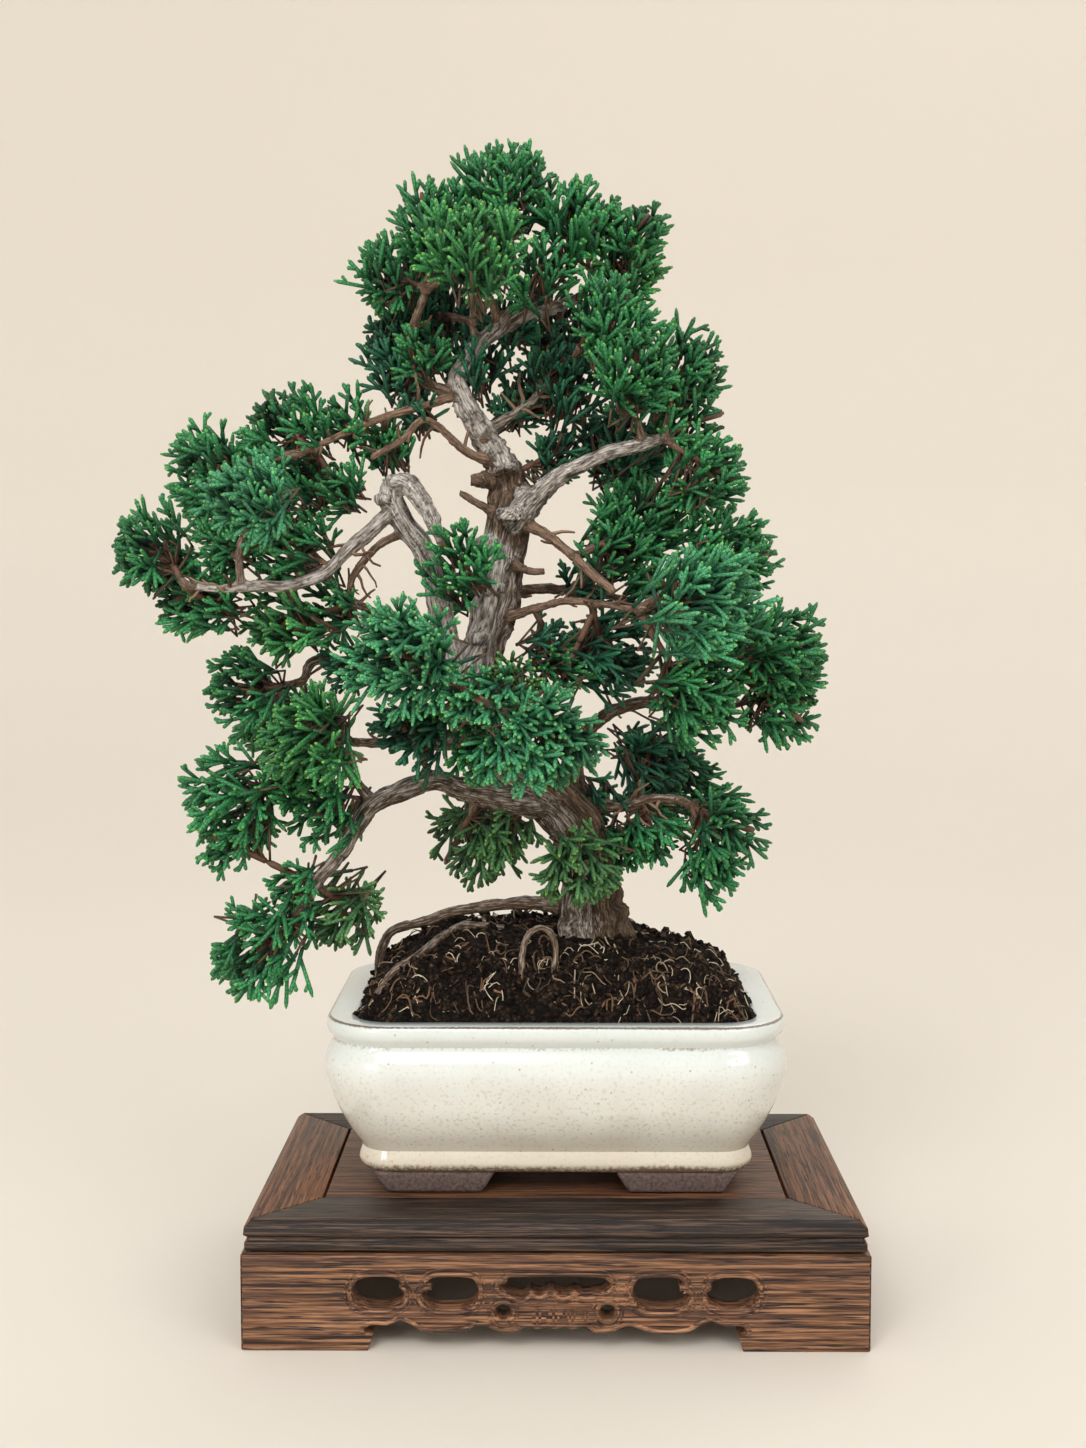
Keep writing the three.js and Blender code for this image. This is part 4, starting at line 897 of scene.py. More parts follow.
def make_chips(tree):
    """Flat bits of bark, split along the grain."""
    chips = []
    for _ in range(CHIP_COUNT):
        _, _, hit = soil_place(tree)
        bpy.ops.object.select_all(action="DESELECT")
        bpy.ops.mesh.primitive_cylinder_add(vertices=6, radius=0.5, depth=1)
        chip = named("chip")
        size = [draw.uniform(*span) for span in CHIP_SIZES]
        heading = Matrix.Rotation(draw.uniform(0, FULL_TURN), 4, "Z")
        turn = heading @ Matrix.Rotation(draw.uniform(-0.6, 0.6), 4, "Y")
        points = points_of(chip.data) * np.array([1 + draw.uniform(-0.2, 0.2) for _ in range(3)])
        points += np.array([[draw.uniform(-CHIP_SKEW, CHIP_SKEW) for _ in range(3)] for _ in points])
        set_points(chip.data, points * np.array(size) * MM)
        chip.data.transform(Matrix.Translation(hit + Vector((0, 0, 0.5 * MM))) @ turn)
        chips.append(chip)
    bark_bits = join("bark_bits", chips)
    finish_piece(bark_bits, fibre_material("fallen_bark", "3d2a1e", "7d5b41"), "soil")


# Camera, floor and light

CAMERA_PLACE = (0, -597.8, 235.8)
CAMERA_DOWN = 4.149
CAMERA_LEFT = 0.414
CAMERA_LENS = 44
# Height and radius in metres of the rings of a pale paper bowl: flat floor, slow bend and wall
BOWL_RINGS = ((0.0, 0.9), (0.01, 1.2), (0.04, 1.45), (0.1, 1.7), (0.22, 1.92), (0.42, 2.1), (0.75, 2.22),
              (1.2, 2.28), (1.7, 2.3))
PAPER = "dcd4c8"
# Four panes of a window, by their middle's plan place in metres
WINDOW_PLACE = (-1.2, -1.7, 0.62)
PANE_SIZE = 0.26
PANE_SPACING = 0.33
PANE_WATTS = 2.0
# Light name, plan place in metres, size in metres and watts; all point at the tree
LIGHTS = (
    ("high_light", (-0.6, -1.9, 1.9), 1.0, 31),
    ("fill_light", (1.4, -1.8, 1.0), 1.4, 34),
    ("back_light", (0.7, 1.8, 1.9), 1.3, 8),
)
LIGHT_COLOUR = "fafcff"
LIGHT_AIM = (0, 0, 0.2)
SKY_STRENGTH = 0.865


def add_light(name, place, size, watts, shift=(0, 0, 0)):
    """A square soft light that points at the tree, moved by shift in its own plane."""
    light = bpy.data.lights.new(name, "AREA")
    light.size = size
    light.energy = watts
    light.color = colour(LIGHT_COLOUR)[:3]
    lamp = new_object(name, light)
    lamp.visible_camera = False
    middle = placed(*[1000 * c for c in place])
    turn = (Vector(LIGHT_AIM) + PLAN_SHIFT - middle).to_track_quat("-Z", "Y")
    lamp.rotation_euler = turn.to_euler()
    lamp.location = middle + turn @ Vector(shift)


def make_studio():
    lens = bpy.data.cameras.new("camera")
    lens.lens = CAMERA_LENS
    lens.clip_start = 0.01
    camera = new_object("camera", lens)
    camera.location = placed(*CAMERA_PLACE)
    camera.rotation_euler = (math.radians(90 - CAMERA_DOWN), 0, math.radians(CAMERA_LEFT))
    bpy.context.scene.camera = camera
    bpy.context.scene.view_settings.view_transform = "Standard"

    bpy.ops.object.select_all(action="DESELECT")
    bpy.ops.mesh.primitive_circle_add(vertices=96, radius=BOWL_RINGS[0][1], fill_type="NGON")
    floor = named("studio_floor")
    stack_rings(BOWL_RINGS)
    bpy.ops.mesh.delete(type="ONLY_FACE")
    face_out(inside=True)
    shade_smooth(floor, 60)
    paper, tree, shader = new_material("matt_paper_backdrop")
    set_inputs(tree, shader, {"Base Color": colour(PAPER), "Roughness": 0.9, "Specular IOR Level": 0.1})
    floor.data.materials.append(paper)

    for side in (-0.5, 0.5):
        for up in (-0.5, 0.5):
            shift = (side * PANE_SPACING, up * PANE_SPACING, 0)
            add_light("window_pane", WINDOW_PLACE, PANE_SIZE, PANE_WATTS, shift)
    for name, place, size, watts in LIGHTS:
        add_light(name, place, size, watts)
    world = bpy.data.worlds.new("studio_sky")
    world.use_nodes = True
    sky = world.node_tree.nodes["Background"]
    sky.inputs["Color"].default_value = (1, 1, 1, 1)
    sky.inputs["Strength"].default_value = SKY_STRENGTH
    bpy.context.scene.world = world


# Wood: routes through the tree's middle line. Each point is x, y, z and radius, and each route has
# a paleness, from brown bark 0 to bleached deadwood 1, and a youth, 1 for smooth reddish twigs.

TRUNK = (
    (14, 8, 103, 15), (13, 7, 117, 13.4), (12, 7, 129, 10.2), (11, 7, 143, 9.2), (8, 6, 157, 8.8),
    (-4, 4, 170, 8.6), (-19, 2, 179, 8.6), (-28, 0, 192, 8.2), (-28, 0, 206, 7.5), (-25, 1, 219, 6.9),
    (-21, 3, 234, 6.6), (-19, 5, 248, 6.6), (-17, 7, 261, 6.8), (-16, 9, 273, 6.3), (-20, 9, 283, 4.9),
    (-26, 6, 293, 3.9), (-31, 4, 302, 3.3), (-33, 4, 308, 2.9), (-30, 5, 314, 2.6), (-26, 7, 320, 2.5),
    (-20, 10, 326, 2.8), (-12, 12, 330, 2.6), (-3, 14, 333, 2.2), (7, 16, 337, 1.8),
)
SECOND_TRUNK = ((-28, 0, 199, 5), (-36, -3, 218, 4.5), (-39, -6, 234, 4.1), (-43, -9, 249, 3.7),
                (-49, -10, 258, 3.6), (-54, -11, 267, 3.6), (-54, -12, 274, 3.3))
LOW_LEFT_BRANCH = ((-4, 3, 166, 6.2), (-19, -2, 168, 4.9), (-32, -6, 171, 3.9), (-40, -8, 174, 3.4),
                   (-51, -10, 171, 3.3), (-61, -12, 166, 3.1), (-67, -14, 158, 2.8), (-71, -16, 151, 2.6),
                   (-78, -18, 143, 2.3), (-83, -20, 134, 1.7))
RIGHT_BRANCH = ((-15, 4, 260, 5), (-8, -2, 267, 4), (1, -7, 275, 2.9), (9, -9, 279, 2.6),
                (18, -11, 283, 2.4), (28, -13, 285, 2.1), (35, -14, 287, 1.7))
LOW_RIGHT_BRANCH = ((10, 6, 158, 5), (6, 12, 180, 3.6), (13, 13, 191, 2.9), (23, 15, 197, 2.5),
                    (35, 16, 199, 2.3), (54, 16, 195, 1.8))
DEADWOOD_STUB = ((-54, -12, 273, 3.1), (-48, -14, 272, 3), (-42, -17, 264, 2.9), (-37, -20, 253, 1.6))
LEFT_BRANCH = ((-53, -11, 265, 3.3), (-60, -12, 258, 3), (-68, -14, 251, 2.8), (-76, -17, 243, 2.6),
               (-87, -20, 239, 2.4), (-97, -22, 239, 2.3), (-108, -26, 238, 1.7), (-119, -28, 239, 1.4))
SMALL_BRANCHES = (
    (0.4, 0.6, ((-102, -24, 240, 1.7), (-102, -26, 249, 1.6), (-100, -28, 256, 1.4))),
    (0.2, 0.5, ((-52, -10, 256, 1.8), (-60, -12, 251, 1.6), (-68, -10, 240, 1.4), (-67, -6, 230, 1.3))),
    (0.2, 0.3, ((-32, 4, 303, 2.6), (-45, 0, 308, 2.1), (-48, -4, 321, 1.9), (-42, -8, 337, 1.4))),
    (0.3, 0.3, ((-26, 7, 320, 1.8), (-28, 4, 326, 1.5), (-27, 2, 335, 1.3))),
    (0.1, 0.6, ((-20, 10, 326, 2.2), (-21, 6, 333, 1.8), (-27, 0, 342, 1.4))),
    (0.3, 0.1, ((-19, 10, 326, 2.7), (-16, 8, 330, 2.9), (-10, 8, 334, 2), (-5, 6, 339, 1.4))),
    (0.1, 0.9, ((-33, 4, 303, 2.2), (-41, 0, 300, 1.7), (-61, -8, 293, 1.5), (-84, -14, 282, 1.3))),
    (0.1, 0.9, ((-21, 7, 281, 2.4), (-30, 2, 284, 1.8), (-43, -4, 294, 1.5), (-51, -8, 287, 1.4),
                (-61, -10, 281, 1.3))),
    (0.1, 0.9, ((-14, 4, 261, 2.9), (-3, -4, 256, 2.1), (12, -16, 243, 1.8), (19, -22, 237, 1.6))),
    (0.1, 0.8, ((-21, 2, 227, 2.6), (-5, -4, 232, 1.7), (6, -10, 234, 1.5), (27, -20, 231, 1.4))),
    (0.4, 0.2, ((-24, 8, 291, 2.6), (-10, 8, 300, 1.7), (-4, 8, 306, 1.5), (3, 8, 311, 1.4))),
    (0.3, 0.3, ((-60, -12, 166, 2.5), (-68, -8, 175, 1.9), (-73, -6, 184, 1.6))),
    (0.3, 0.2, ((-28, 0, 203, 3.6), (-46, 4, 209, 2.5), (-63, 4, 211, 2.3), (-81, 0, 214, 2),
                (-85, -2, 207, 1.6))),
    (0.2, 0.7, ((-28, 0, 195, 3.6), (-26, -20, 201, 2.4), (-26, -38, 204, 1.8))),
    (0.2, 0.4, ((8, 6, 165, 4), (22, 4, 164, 2.5), (32, 0, 167, 2.1), (42, -4, 167, 1.7))),
    (0.1, 0.6, ((-19, 5, 263, 2.4), (-25, 0, 266, 1.6), (-32, -4, 270, 1.5))),
    (0.1, 0.6, ((-18, 4, 248, 2.4), (-9, -2, 244, 1.6), (-4, -4, 244, 1.5))),
    (0.2, 0.3, ((-24, 5, 289, 3), (-18, 18, 297, 2.2), (-6, 32, 303, 1.6))),
    (0.2, 0.3, ((-22, 4, 232, 3), (-8, 20, 238, 2.3), (18, 34, 236, 1.7), (34, 38, 230, 1.4))),
    (0.2, 0.3, ((-29, 2, 212, 3), (-44, 18, 222, 2.3), (-72, 28, 234, 1.8), (-88, 32, 250, 1.4))),
    (0.2, 0.3, ((-26, 2, 186, 3.4), (-44, 16, 184, 2.4), (-70, 26, 184, 1.8))),
    (0.2, 0.3, ((11, 9, 150, 3.4), (20, 24, 152, 2.2), (27, 34, 150, 1.6))),
)
ROOTS = (
    ((12, 7, 116, 5), (7, 8, 127, 4.4), (-10, 10, 129.5, 2.8), (-34, 14, 126, 2.3), (-45, 16, 122, 2.2),
     (-56, 17, 119, 2), (-60.5, 16, 114, 1.9), (-62, 14, 106, 1.8), (-61, 11, 97, 1.7)),
    ((10, 6, 114, 4), (-12, 8, 119, 2.4), (-30, 8, 121.8, 2), (-37, 0, 120.6, 1.9), (-43, -13, 118, 1.8),
     (-48, -19, 115, 1.8), (-54, -21, 111.5, 1.7), (-59, -25, 104, 1.5)),
    ((10, 2, 108, 4), (-2, -10, 107, 2), (-10, -23, 109, 1.5), (-11, -25, 118, 1.4), (-9, -25, 125, 1.3),
     (-5, -25, 127.5, 1.3), (-1, -25, 125, 1.3), (0, -25, 118, 1.3), (-2, -25, 109, 1.3)),
)
ROUTES = (
    (0.38, 0.0, TRUNK), (0.62, 0.0, SECOND_TRUNK), (0.35, 0.0, LOW_LEFT_BRANCH), (0.55, 0.0, RIGHT_BRANCH),
    (0.2, 0.2, LOW_RIGHT_BRANCH), (0.85, 0.0, DEADWOOD_STUB), (0.6, 0.1, LEFT_BRANCH),
    *SMALL_BRANCHES, *[(0.25, 0.3, route) for route in ROOTS],
)
# Burls and old scars that swell out of the wood: x, y, z and radius
BURLS = (
    (-15, -3, 263, 5.0), (-25, 4, 275, 4.0), (-12, 3, 271, 4.0), (-21, 1, 253, 4.0), (-17, 1, 278, 3.7),
    (-52, -13, 273, 3.9), (-47, -15, 270, 3.6), (-43, -17, 266, 2.9), (-40, -19, 260, 2.6),
    (-56, -13, 267, 3.6), (-25, -4, 221, 3.7), (-20, -3, 238, 3.7),
)
# Knots along the routes with these numbers, and how many on each
KNOTS = ((0, 46), (1, 16), (3, 20), (5, 22), (6, 14))
# A knot's radius and how far its middle stands out, as shares of the branch's radius
KNOT_SIZE = (0.35, 0.55)
KNOT_OUT = 0.72
# How far the sun has bleached the trunk, from 0 to 1, at heights from low to high
TRUNK_BLEACH = ((150, 0.3), (196, 0.42), (206, 0.7), (250, 0.7), (261, 0.1), (275, 0.1), (284, 0.85),
                (322, 0.8))
# Below this height the trunk's right side has kept its brown bark
BARK_TOP = 262
BARK_DARK = 0.5
ROUTE_STEP = 1.5
TRUNK_RIDGES = 0.16
TRUNK_TWIST = 11
GRAIN_STRETCH = 9
WOOD_VOXEL = 0.9
# How far the grain's pattern is moved along from each route to the next, in mm
GRAIN_SHIFT = 37
# Breadth of the cracks between strips, as a share of the strips' height
GROOVE_WIDTH = 0.1
# Live branches and twigs are a little slimmer than packed
SLIM = 0.84
TWIG_RADIUS = 1.7
# Columns of a guide row: a point's radius, ways and length run, and its route's looks and number
RADIUS, WAY, SIDE, OTHER, RUN = 3, slice(4, 7), slice(7, 10), slice(10, 13), 13
PALE, YOUNG, NUMBER = 14, 15, 16


def smooth_route(route):
    """The route bent through its points, cut every ROUTE_STEP: rows of x, y, z and radius."""
    given = np.array([route[0], *route, route[-1]], float)
    given[0] = 2 * given[1] - given[2]
    given[-1] = 2 * given[-2] - given[-3]
    rows = []
    for a, b, c, d in zip(given, given[1:], given[2:], given[3:]):
        steps = max(2, round(np.linalg.norm(c[:3] - b[:3]) / ROUTE_STEP))
        for t in np.arange(steps) / steps:
            rows.append(0.5 * (2 * b + (c - a) * t + (2 * a - 5 * b + 4 * c - d) * t ** 2
                               + (3 * b - a - 3 * c + d) * t ** 3))
    rows.append(given[-2])
    return np.array(rows)


def route_frames(rows):
    """Side ways of a route, carried along it without twist, and the length run so far."""
    ways = np.gradient(rows[:, :3], axis=0)
    ways /= np.linalg.norm(ways, axis=1)[:, None]
    sides = []
    side = np.array((1.0, 0, 0))
    for way in ways:
        side = side - way * side.dot(way)
        side /= np.linalg.norm(side)
        sides.append(side)
    sides = np.array(sides)
    run = np.concatenate(([0], np.cumsum(np.linalg.norm(np.diff(rows[:, :3], axis=0), axis=1))))
    return ways, sides, np.cross(ways, sides), run


def twig_route(pad, guides):
    """A pad's twig: from the wood that its stem points back to, to the stem's foot."""
    foot, back = pad["foot"], pad["back"]
    for step in range(2, 160):
        at = foot + back * step * 0.5
        gap = np.linalg.norm(guides[:, :3] - at, axis=1) - guides[:, 3]
        if gap.min() < -0.3:
            break
    reach = at + back * 1.2
    middle = (foot + reach) / 2 + np.array([draw.uniform(-0.6, 0.6) for _ in range(3)])
    thick = TWIG_RADIUS * SLIM
    return (0.15, 0.6, ((*reach, thick * 1.15), (*middle, thick), (*foot, thick)))


def add_swelling(rods, place, radius, stretch):
    """A rounded lump on the wood, as a short thick rod."""
    middle = placed(*place)
    half = Vector((0, 0, radius * stretch * MM))
    add_spline(rods, (middle - half, middle, middle + half), False, radius)


def make_wood(pads):
    smooth = []
    for pale, young, route in ROUTES:
        rows = smooth_route(route)
        if young > 0:
            rows[:, 3] *= SLIM
        smooth.append((pale, young, rows))
    guides = np.concatenate([rows for _, _, rows in smooth])
    for pad in pads:
        pale, young, route = twig_route(pad, guides)
        smooth.append((pale, young, smooth_route(route)))
    rods = tube_curve("rods", 5)
    for _, _, rows in smooth:
        add_spline(rods, [placed(*row[:3]) for row in rows], False, rows[:, 3])
    for x, y, z, radius in BURLS:
        add_swelling(rods, (x, y, z), radius, 0.4)
    for route, count in KNOTS:
        for x, y, z, radius in (draw.choice(smooth[route][2]) for _ in range(count)):
            size = radius * draw.uniform(*KNOT_SIZE)
            out = any_way() * radius * KNOT_OUT
            add_swelling(rods, (x + out.x, y + out.y, z + out.z), size, 0.3)
    wood = curve_to_mesh("juniper_wood", rods)
    apply_modifier(wood, "REMESH", mode="VOXEL", voxel_size=WOOD_VOXEL * MM)
    apply_modifier(wood, "SMOOTH", factor=0.5, iterations=2)
    carve_bark(wood, smooth)
    shade_smooth(wood, 80)
    finish_piece(wood, bark_material(), "bark", "trunk")
    return [rows for _, _, rows in smooth]


def carve_bark(wood, smooth):
    """Gives the wood its ridges, strips and cracks, and tells the material where they run."""
    mesh = wood.data
    normals = np.array([v.normal[:] for v in mesh.vertices])
    points = (points_of(mesh) - np.array(PLAN_SHIFT)) / MM
    columns = []
    for number, (pale, young, rows) in enumerate(smooth):
        ways, sides, others, run = route_frames(rows)
        extra = np.tile((pale, young, number), (len(rows), 1))
        columns.append(np.column_stack((rows, ways, sides, others, run, extra)))
    guides = np.concatenate(columns)
    nearest = np.empty(len(points), int)
    for start in range(0, len(points), 1500):
        block = points[start:start + 1500]
        gap = np.linalg.norm(block[:, None] - guides[None, :, :3], axis=2) - guides[:, RADIUS]
        nearest[start:start + 1500] = gap.argmin(axis=1)
    guide = guides[nearest]
    away = points - guide[:, :3]
    radius = guide[:, RADIUS]
    along = guide[:, RUN] + (away * guide[:, WAY]).sum(axis=1) + guide[:, NUMBER] * GRAIN_SHIFT
    side = (away * guide[:, SIDE]).sum(axis=1)
    other = (away * guide[:, OTHER]).sum(axis=1)
    angle = np.arctan2(other, side)
    is_trunk = guide[:, NUMBER] == 0
    run_share = along / 260
    ridge = np.cos(3 * angle + TRUNK_TWIST * run_share) + 0.5 * np.cos(5 * angle - TRUNK_TWIST * run_share)
    push = 0.15 + np.where(is_trunk, radius * TRUNK_RIDGES * ridge, 0)
    grain = np.column_stack((side, other, along / GRAIN_STRETCH))
    crack = np.zeros(len(points))
    young = guide[:, YOUNG]
    for index, q in enumerate(grain):
        size = 1.15 + 0.16 * radius[index]
        at = Vector(q) / size
        strip = noise.noise(at)
        lump = noise.noise(Vector(points[index]) / (2.5 + radius[index]))
        flake = noise.noise(at * 2.3)
        groove = math.exp(-(strip / GROOVE_WIDTH) ** 2) * (1 - 0.85 * young[index])
        depth = min(1.1, max(0.1, 0.12 * radius[index])) * (1 - 0.5 * young[index])
        push[index] += depth * (1.1 * strip + 0.7 * flake - 0.9 * groove) + 0.2 * radius[index] * lump
        crack[index] = groove * 0.85
    # Upward faces are made paler and downward ones browner: partly sun-bleaching, partly painted light from
    # above
    pale = guide[:, PALE] + 0.12 * normals[:, 2]
    heights, bleach = zip(*TRUNK_BLEACH)
    ragged = points[:, 2] + 5 * np.array([noise.noise(Vector(point) / 4) for point in points])
    pale[is_trunk] += (np.interp(ragged, heights, bleach) - guide[:, PALE])[is_trunk]
    barked = is_trunk & (points[:, 2] < BARK_TOP)
    pale[barked] -= BARK_DARK * np.clip(side / radius, -0.1, 0.8)[barked]
    points += normals * push[:, None]
    set_points(mesh, points * MM + np.array(PLAN_SHIFT))
    set_attribute(mesh, "grain", grain, "FLOAT_VECTOR")
    set_attribute(mesh, "crack", crack)
    set_attribute(mesh, "pale", pale)
    set_attribute(mesh, "young", young)


SPUR_COUNT = 110
# The routes that carry bare twig ends, and their fewest rows
SPUR_ROUTES = slice(4, 28)
SPUR_ROWS = 20
SPUR_RADIUS = 0.75
SPUR_POINTS = 5
SPUR_LENGTH = (4, 13)


def make_spurs(routes):
    """Bare twig ends that stand out of the branches."""
    spurs = tube_curve("bare_twigs", 0)
    carriers = [rows for rows in routes[SPUR_ROUTES] if len(rows) > SPUR_ROWS]
    for _ in range(SPUR_COUNT):
        rows = draw.choice(carriers)
        index = draw.randint(8, len(rows) - 4)
        start, radius = Vector(rows[index][:3]), rows[index][3]
        way = (Vector(rows[index + 2][:3]) - start).normalized()
        out = way.cross(Vector([draw.gauss(0, 1) for _ in range(3)])).normalized()
        heading = (out + way * draw.uniform(0.2, 0.9)).normalized()
        length = draw.uniform(*SPUR_LENGTH)
        at = start + heading * radius * 0.3
        path = []
        for _ in range(SPUR_POINTS):
            path.append(placed(*at))
            heading = (heading + Vector([draw.gauss(0, 0.22) for _ in range(3)])).normalized()
            at = at + heading * length / (SPUR_POINTS - 1)
        taper = 1 - 0.13 * np.arange(SPUR_POINTS)
        add_spline(spurs, path, False, min(SPUR_RADIUS, radius * 0.5) * taper)
    twigs = curve_to_mesh("bare_twigs", spurs)
    shade_smooth(twigs, 60)
    finish_piece(twigs, fibre_material("bare_juniper_twig", "4a3427", "977862"), "bark")


# Foliage: sprays of scale-clad cords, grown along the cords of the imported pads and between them

CORD_SIDES = 5
TWIG_SIDES = 3
# Share of a cord's length and share of its radius at each ring, from root to rounded tip
CORD_RINGS = ((0.0, 0.85), (0.86, 1.0), (1.0, 0.42))
TWIG_RINGS = ((0.0, 1.0), (1.0, 0.9))
AXIS_RADIUS = 0.8
SIDE_RADIUS = 0.74
STUB_RADIUS = 0.65
SCALE_LENGTH = 1.3
# Side cords: lean in degrees, greatest length and spacing in mm
SIDE_LEAN = (24, 42)
SIDE_REACH = (9, 14.5)
SIDE_GAP = (2.8, 4.6)
# Forks: where they leave a side cord as shares of it, how likely they are, and their length in mm
FORK_PLACES = ((0.32, 0.48), (0.55, 0.7))
FORK_CHANCE = 0.42
FORK_LENGTH = (2.8, 5.2)
SPRAY_LENGTHS = (12, 15, 18, 21)
SPRAYS_OF_EACH = 6
# Least and greatest length of a spray in its place
SPRAY_REACH = (10, 23)
# Sprays in a pad for each square mm of its radius squared
SPRAY_SHARE = 0.108
# Pads at the ends of the branches are more open: they get this share of the sprays
AIRY = 0.7
AIRY_PADS = ("right_tip", "right_tip_low", "low_right", "hanging", "drooping", "drooping_right",
             "lower_left_back", "lower_left", "inner_low", "left_tip", "mid_right_low", "right_end_low")
INNER_TWIG_RADIUS = 0.5
STEM_RADIUS = 1.25
# Sprays lean away from this place in the tree's middle, by these least and greatest shares
TREE_HEART = (-15, 5, 212)
GROWTH_PULL = (0.25, 0.75)
# Fans are trained to lie across the view from the front: how deep they lean, and how much they roll
FAN_DEPTH = 0.5
FAN_ROLL = 0.6
# How far some pads have grown on from their packed places, in mm
GROWN = {
    "right_tip": (-9, 0, 0), "right_tip_low": (-5, 0, 0), "low_right": (-3, 0, -4),
    "left_top": (0, 0, -4), "crown_left_top": (3, 0, -3), "hanging": (9, 0, 2), "apex": (2, 0, 2),
    "left_tip": (0, 0, 2), "left_under": (3, 0, 3), "left_back": (3, 0, -1), "lower_left": (-2, 0, -3),
    "right_top": (-3, 0, -2), "crown_right_top": (-2, 0, 3), "front_right": (-5, 0, 0),
}
# Leaves stay right of and behind these plan places
LEFT_EDGE = -144
FRONT_EDGE = -58.5
LEAF_LOOKS = {
    "foliage_green": ("juniper_leaf_green", "103824", "33804b", "62a343"),
    "foliage_blue": ("juniper_leaf_blue_green", "184a37", "479465", "70b25a"),
    # The shaded look is a darker copy of the leaves: painted shade for pads and tufts deep in and behind
    # the crown
    "foliage_dark": ("juniper_leaf_shaded", "0f3226", "215f43", "3d7a38"),
    "foliage_bright": ("juniper_leaf_new", "19482d", "40894b", "7cb34b"),
    "foliage_olive": ("juniper_leaf_olive", "24482c", "4a7a48", "7fa043"),
}


def read_pads():
    """Where each packed pad's stem starts and points back to, and its cords' tips, in plan mm."""
    slots = {part["node"]: part["material_slot"] for part in frame["record"]["subparts"]}
    pads = []
    for node in frame["nodes"]:
        if not node.startswith("foliage_"):
            continue
        bare = cad_copy(node, "bare_pad", dissolve=False)
        mesh = bare.data
        points = (points_of(mesh) - np.array(PLAN_SHIFT)) / MM
        faces_at = [0] * len(points)
        for face in mesh.polygons:
            for corner in face.vertices:
                faces_at[corner] += 1
        # Three faces meet at the pointed tip of a packed cord
        tips = [point for point, count in zip(points, faces_at) if count == 3]
        # The stem's foot is the face whose sides are nearest to a whole twig's
        side = TWIG_RADIUS * math.sqrt(3)
        foot = min(mesh.polygons, key=lambda face: sum(
            abs(np.linalg.norm(points[face.vertices[i]] - points[face.vertices[i - 1]]) - side)
            for i in range(3)))
        back = np.array(foot.normal)
        middle = np.mean(tips, axis=0)
        ball = middle + back * 2
        pads.append({
            "node": node,
            "name": node.removeprefix("foliage_"),
            "slot": slots[node],
            "foot": points[list(foot.vertices)].mean(axis=0),
            "back": back,
            "tips": tips,
            "middle": middle,
            "wide": 1.08 * np.percentile([np.linalg.norm(tip - ball) for tip in tips], 80),
        })
        bpy.data.objects.remove(bare)
    return pads


def make_cord(name, sides, rings):
    """One cord, 1 long and 1 in radius: a slim rod that swells a little and ends round."""
    bpy.ops.object.select_all(action="DESELECT")
    bpy.ops.mesh.primitive_circle_add(vertices=sides, radius=rings[0][1], fill_type="NGON")
    cord = named(name)
    stack_rings(rings)
    face_out()
    mesh = cord.data
    set_attribute(mesh, "tip", [v.co.z for v in mesh.vertices])
    set_attribute(mesh, "woody", np.zeros(len(mesh.vertices)))
    set_attribute(mesh, "shade", np.zeros(len(mesh.vertices)))
    scales = mesh.uv_layers.new(name="scales")
    for face in mesh.polygons:
        middle = math.atan2(face.center.y, face.center.x)
        face.use_smooth = True
        for loop in face.loop_indices:
            point = mesh.vertices[mesh.loops[loop].vertex_index].co
            turn = (math.atan2(point.y, point.x) - middle + math.pi) % (2 * math.pi) - math.pi
            scales.data[loop].uv = ((middle + turn) / (2 * math.pi) * 4, point.z)
    return cord


def cord_copy(cord, start, way, length, radius, young=1.0, woody=0.0):
    """A copy of the cord in its place. A young cord has a bright tip."""
    mesh = cord.data.copy()
    turn = way.to_track_quat("Z", "Y").to_matrix().to_4x4()
    size = Matrix.Diagonal((radius, radius, length, 1))
    mesh.transform(Matrix.Translation(start) @ turn @ size)
    uv = np.zeros(2 * len(mesh.loops))
    mesh.uv_layers["scales"].data.foreach_get("uv", uv)
    uv[1::2] *= length / SCALE_LENGTH
    mesh.uv_layers["scales"].data.foreach_set("uv", uv)
    tips = np.zeros(len(mesh.vertices))
    mesh.attributes["tip"].data.foreach_get("value", tips)
    set_attribute(mesh, "tip", tips * young)
    set_attribute(mesh, "woody", np.full(len(mesh.vertices), woody))
    return new_object("cord_copy", mesh)


def leaning(roll, lean):
    """A way that leans from straight up by lean, towards roll."""
    return Vector((math.cos(roll) * math.sin(lean), math.sin(roll) * math.sin(lean), math.cos(lean)))


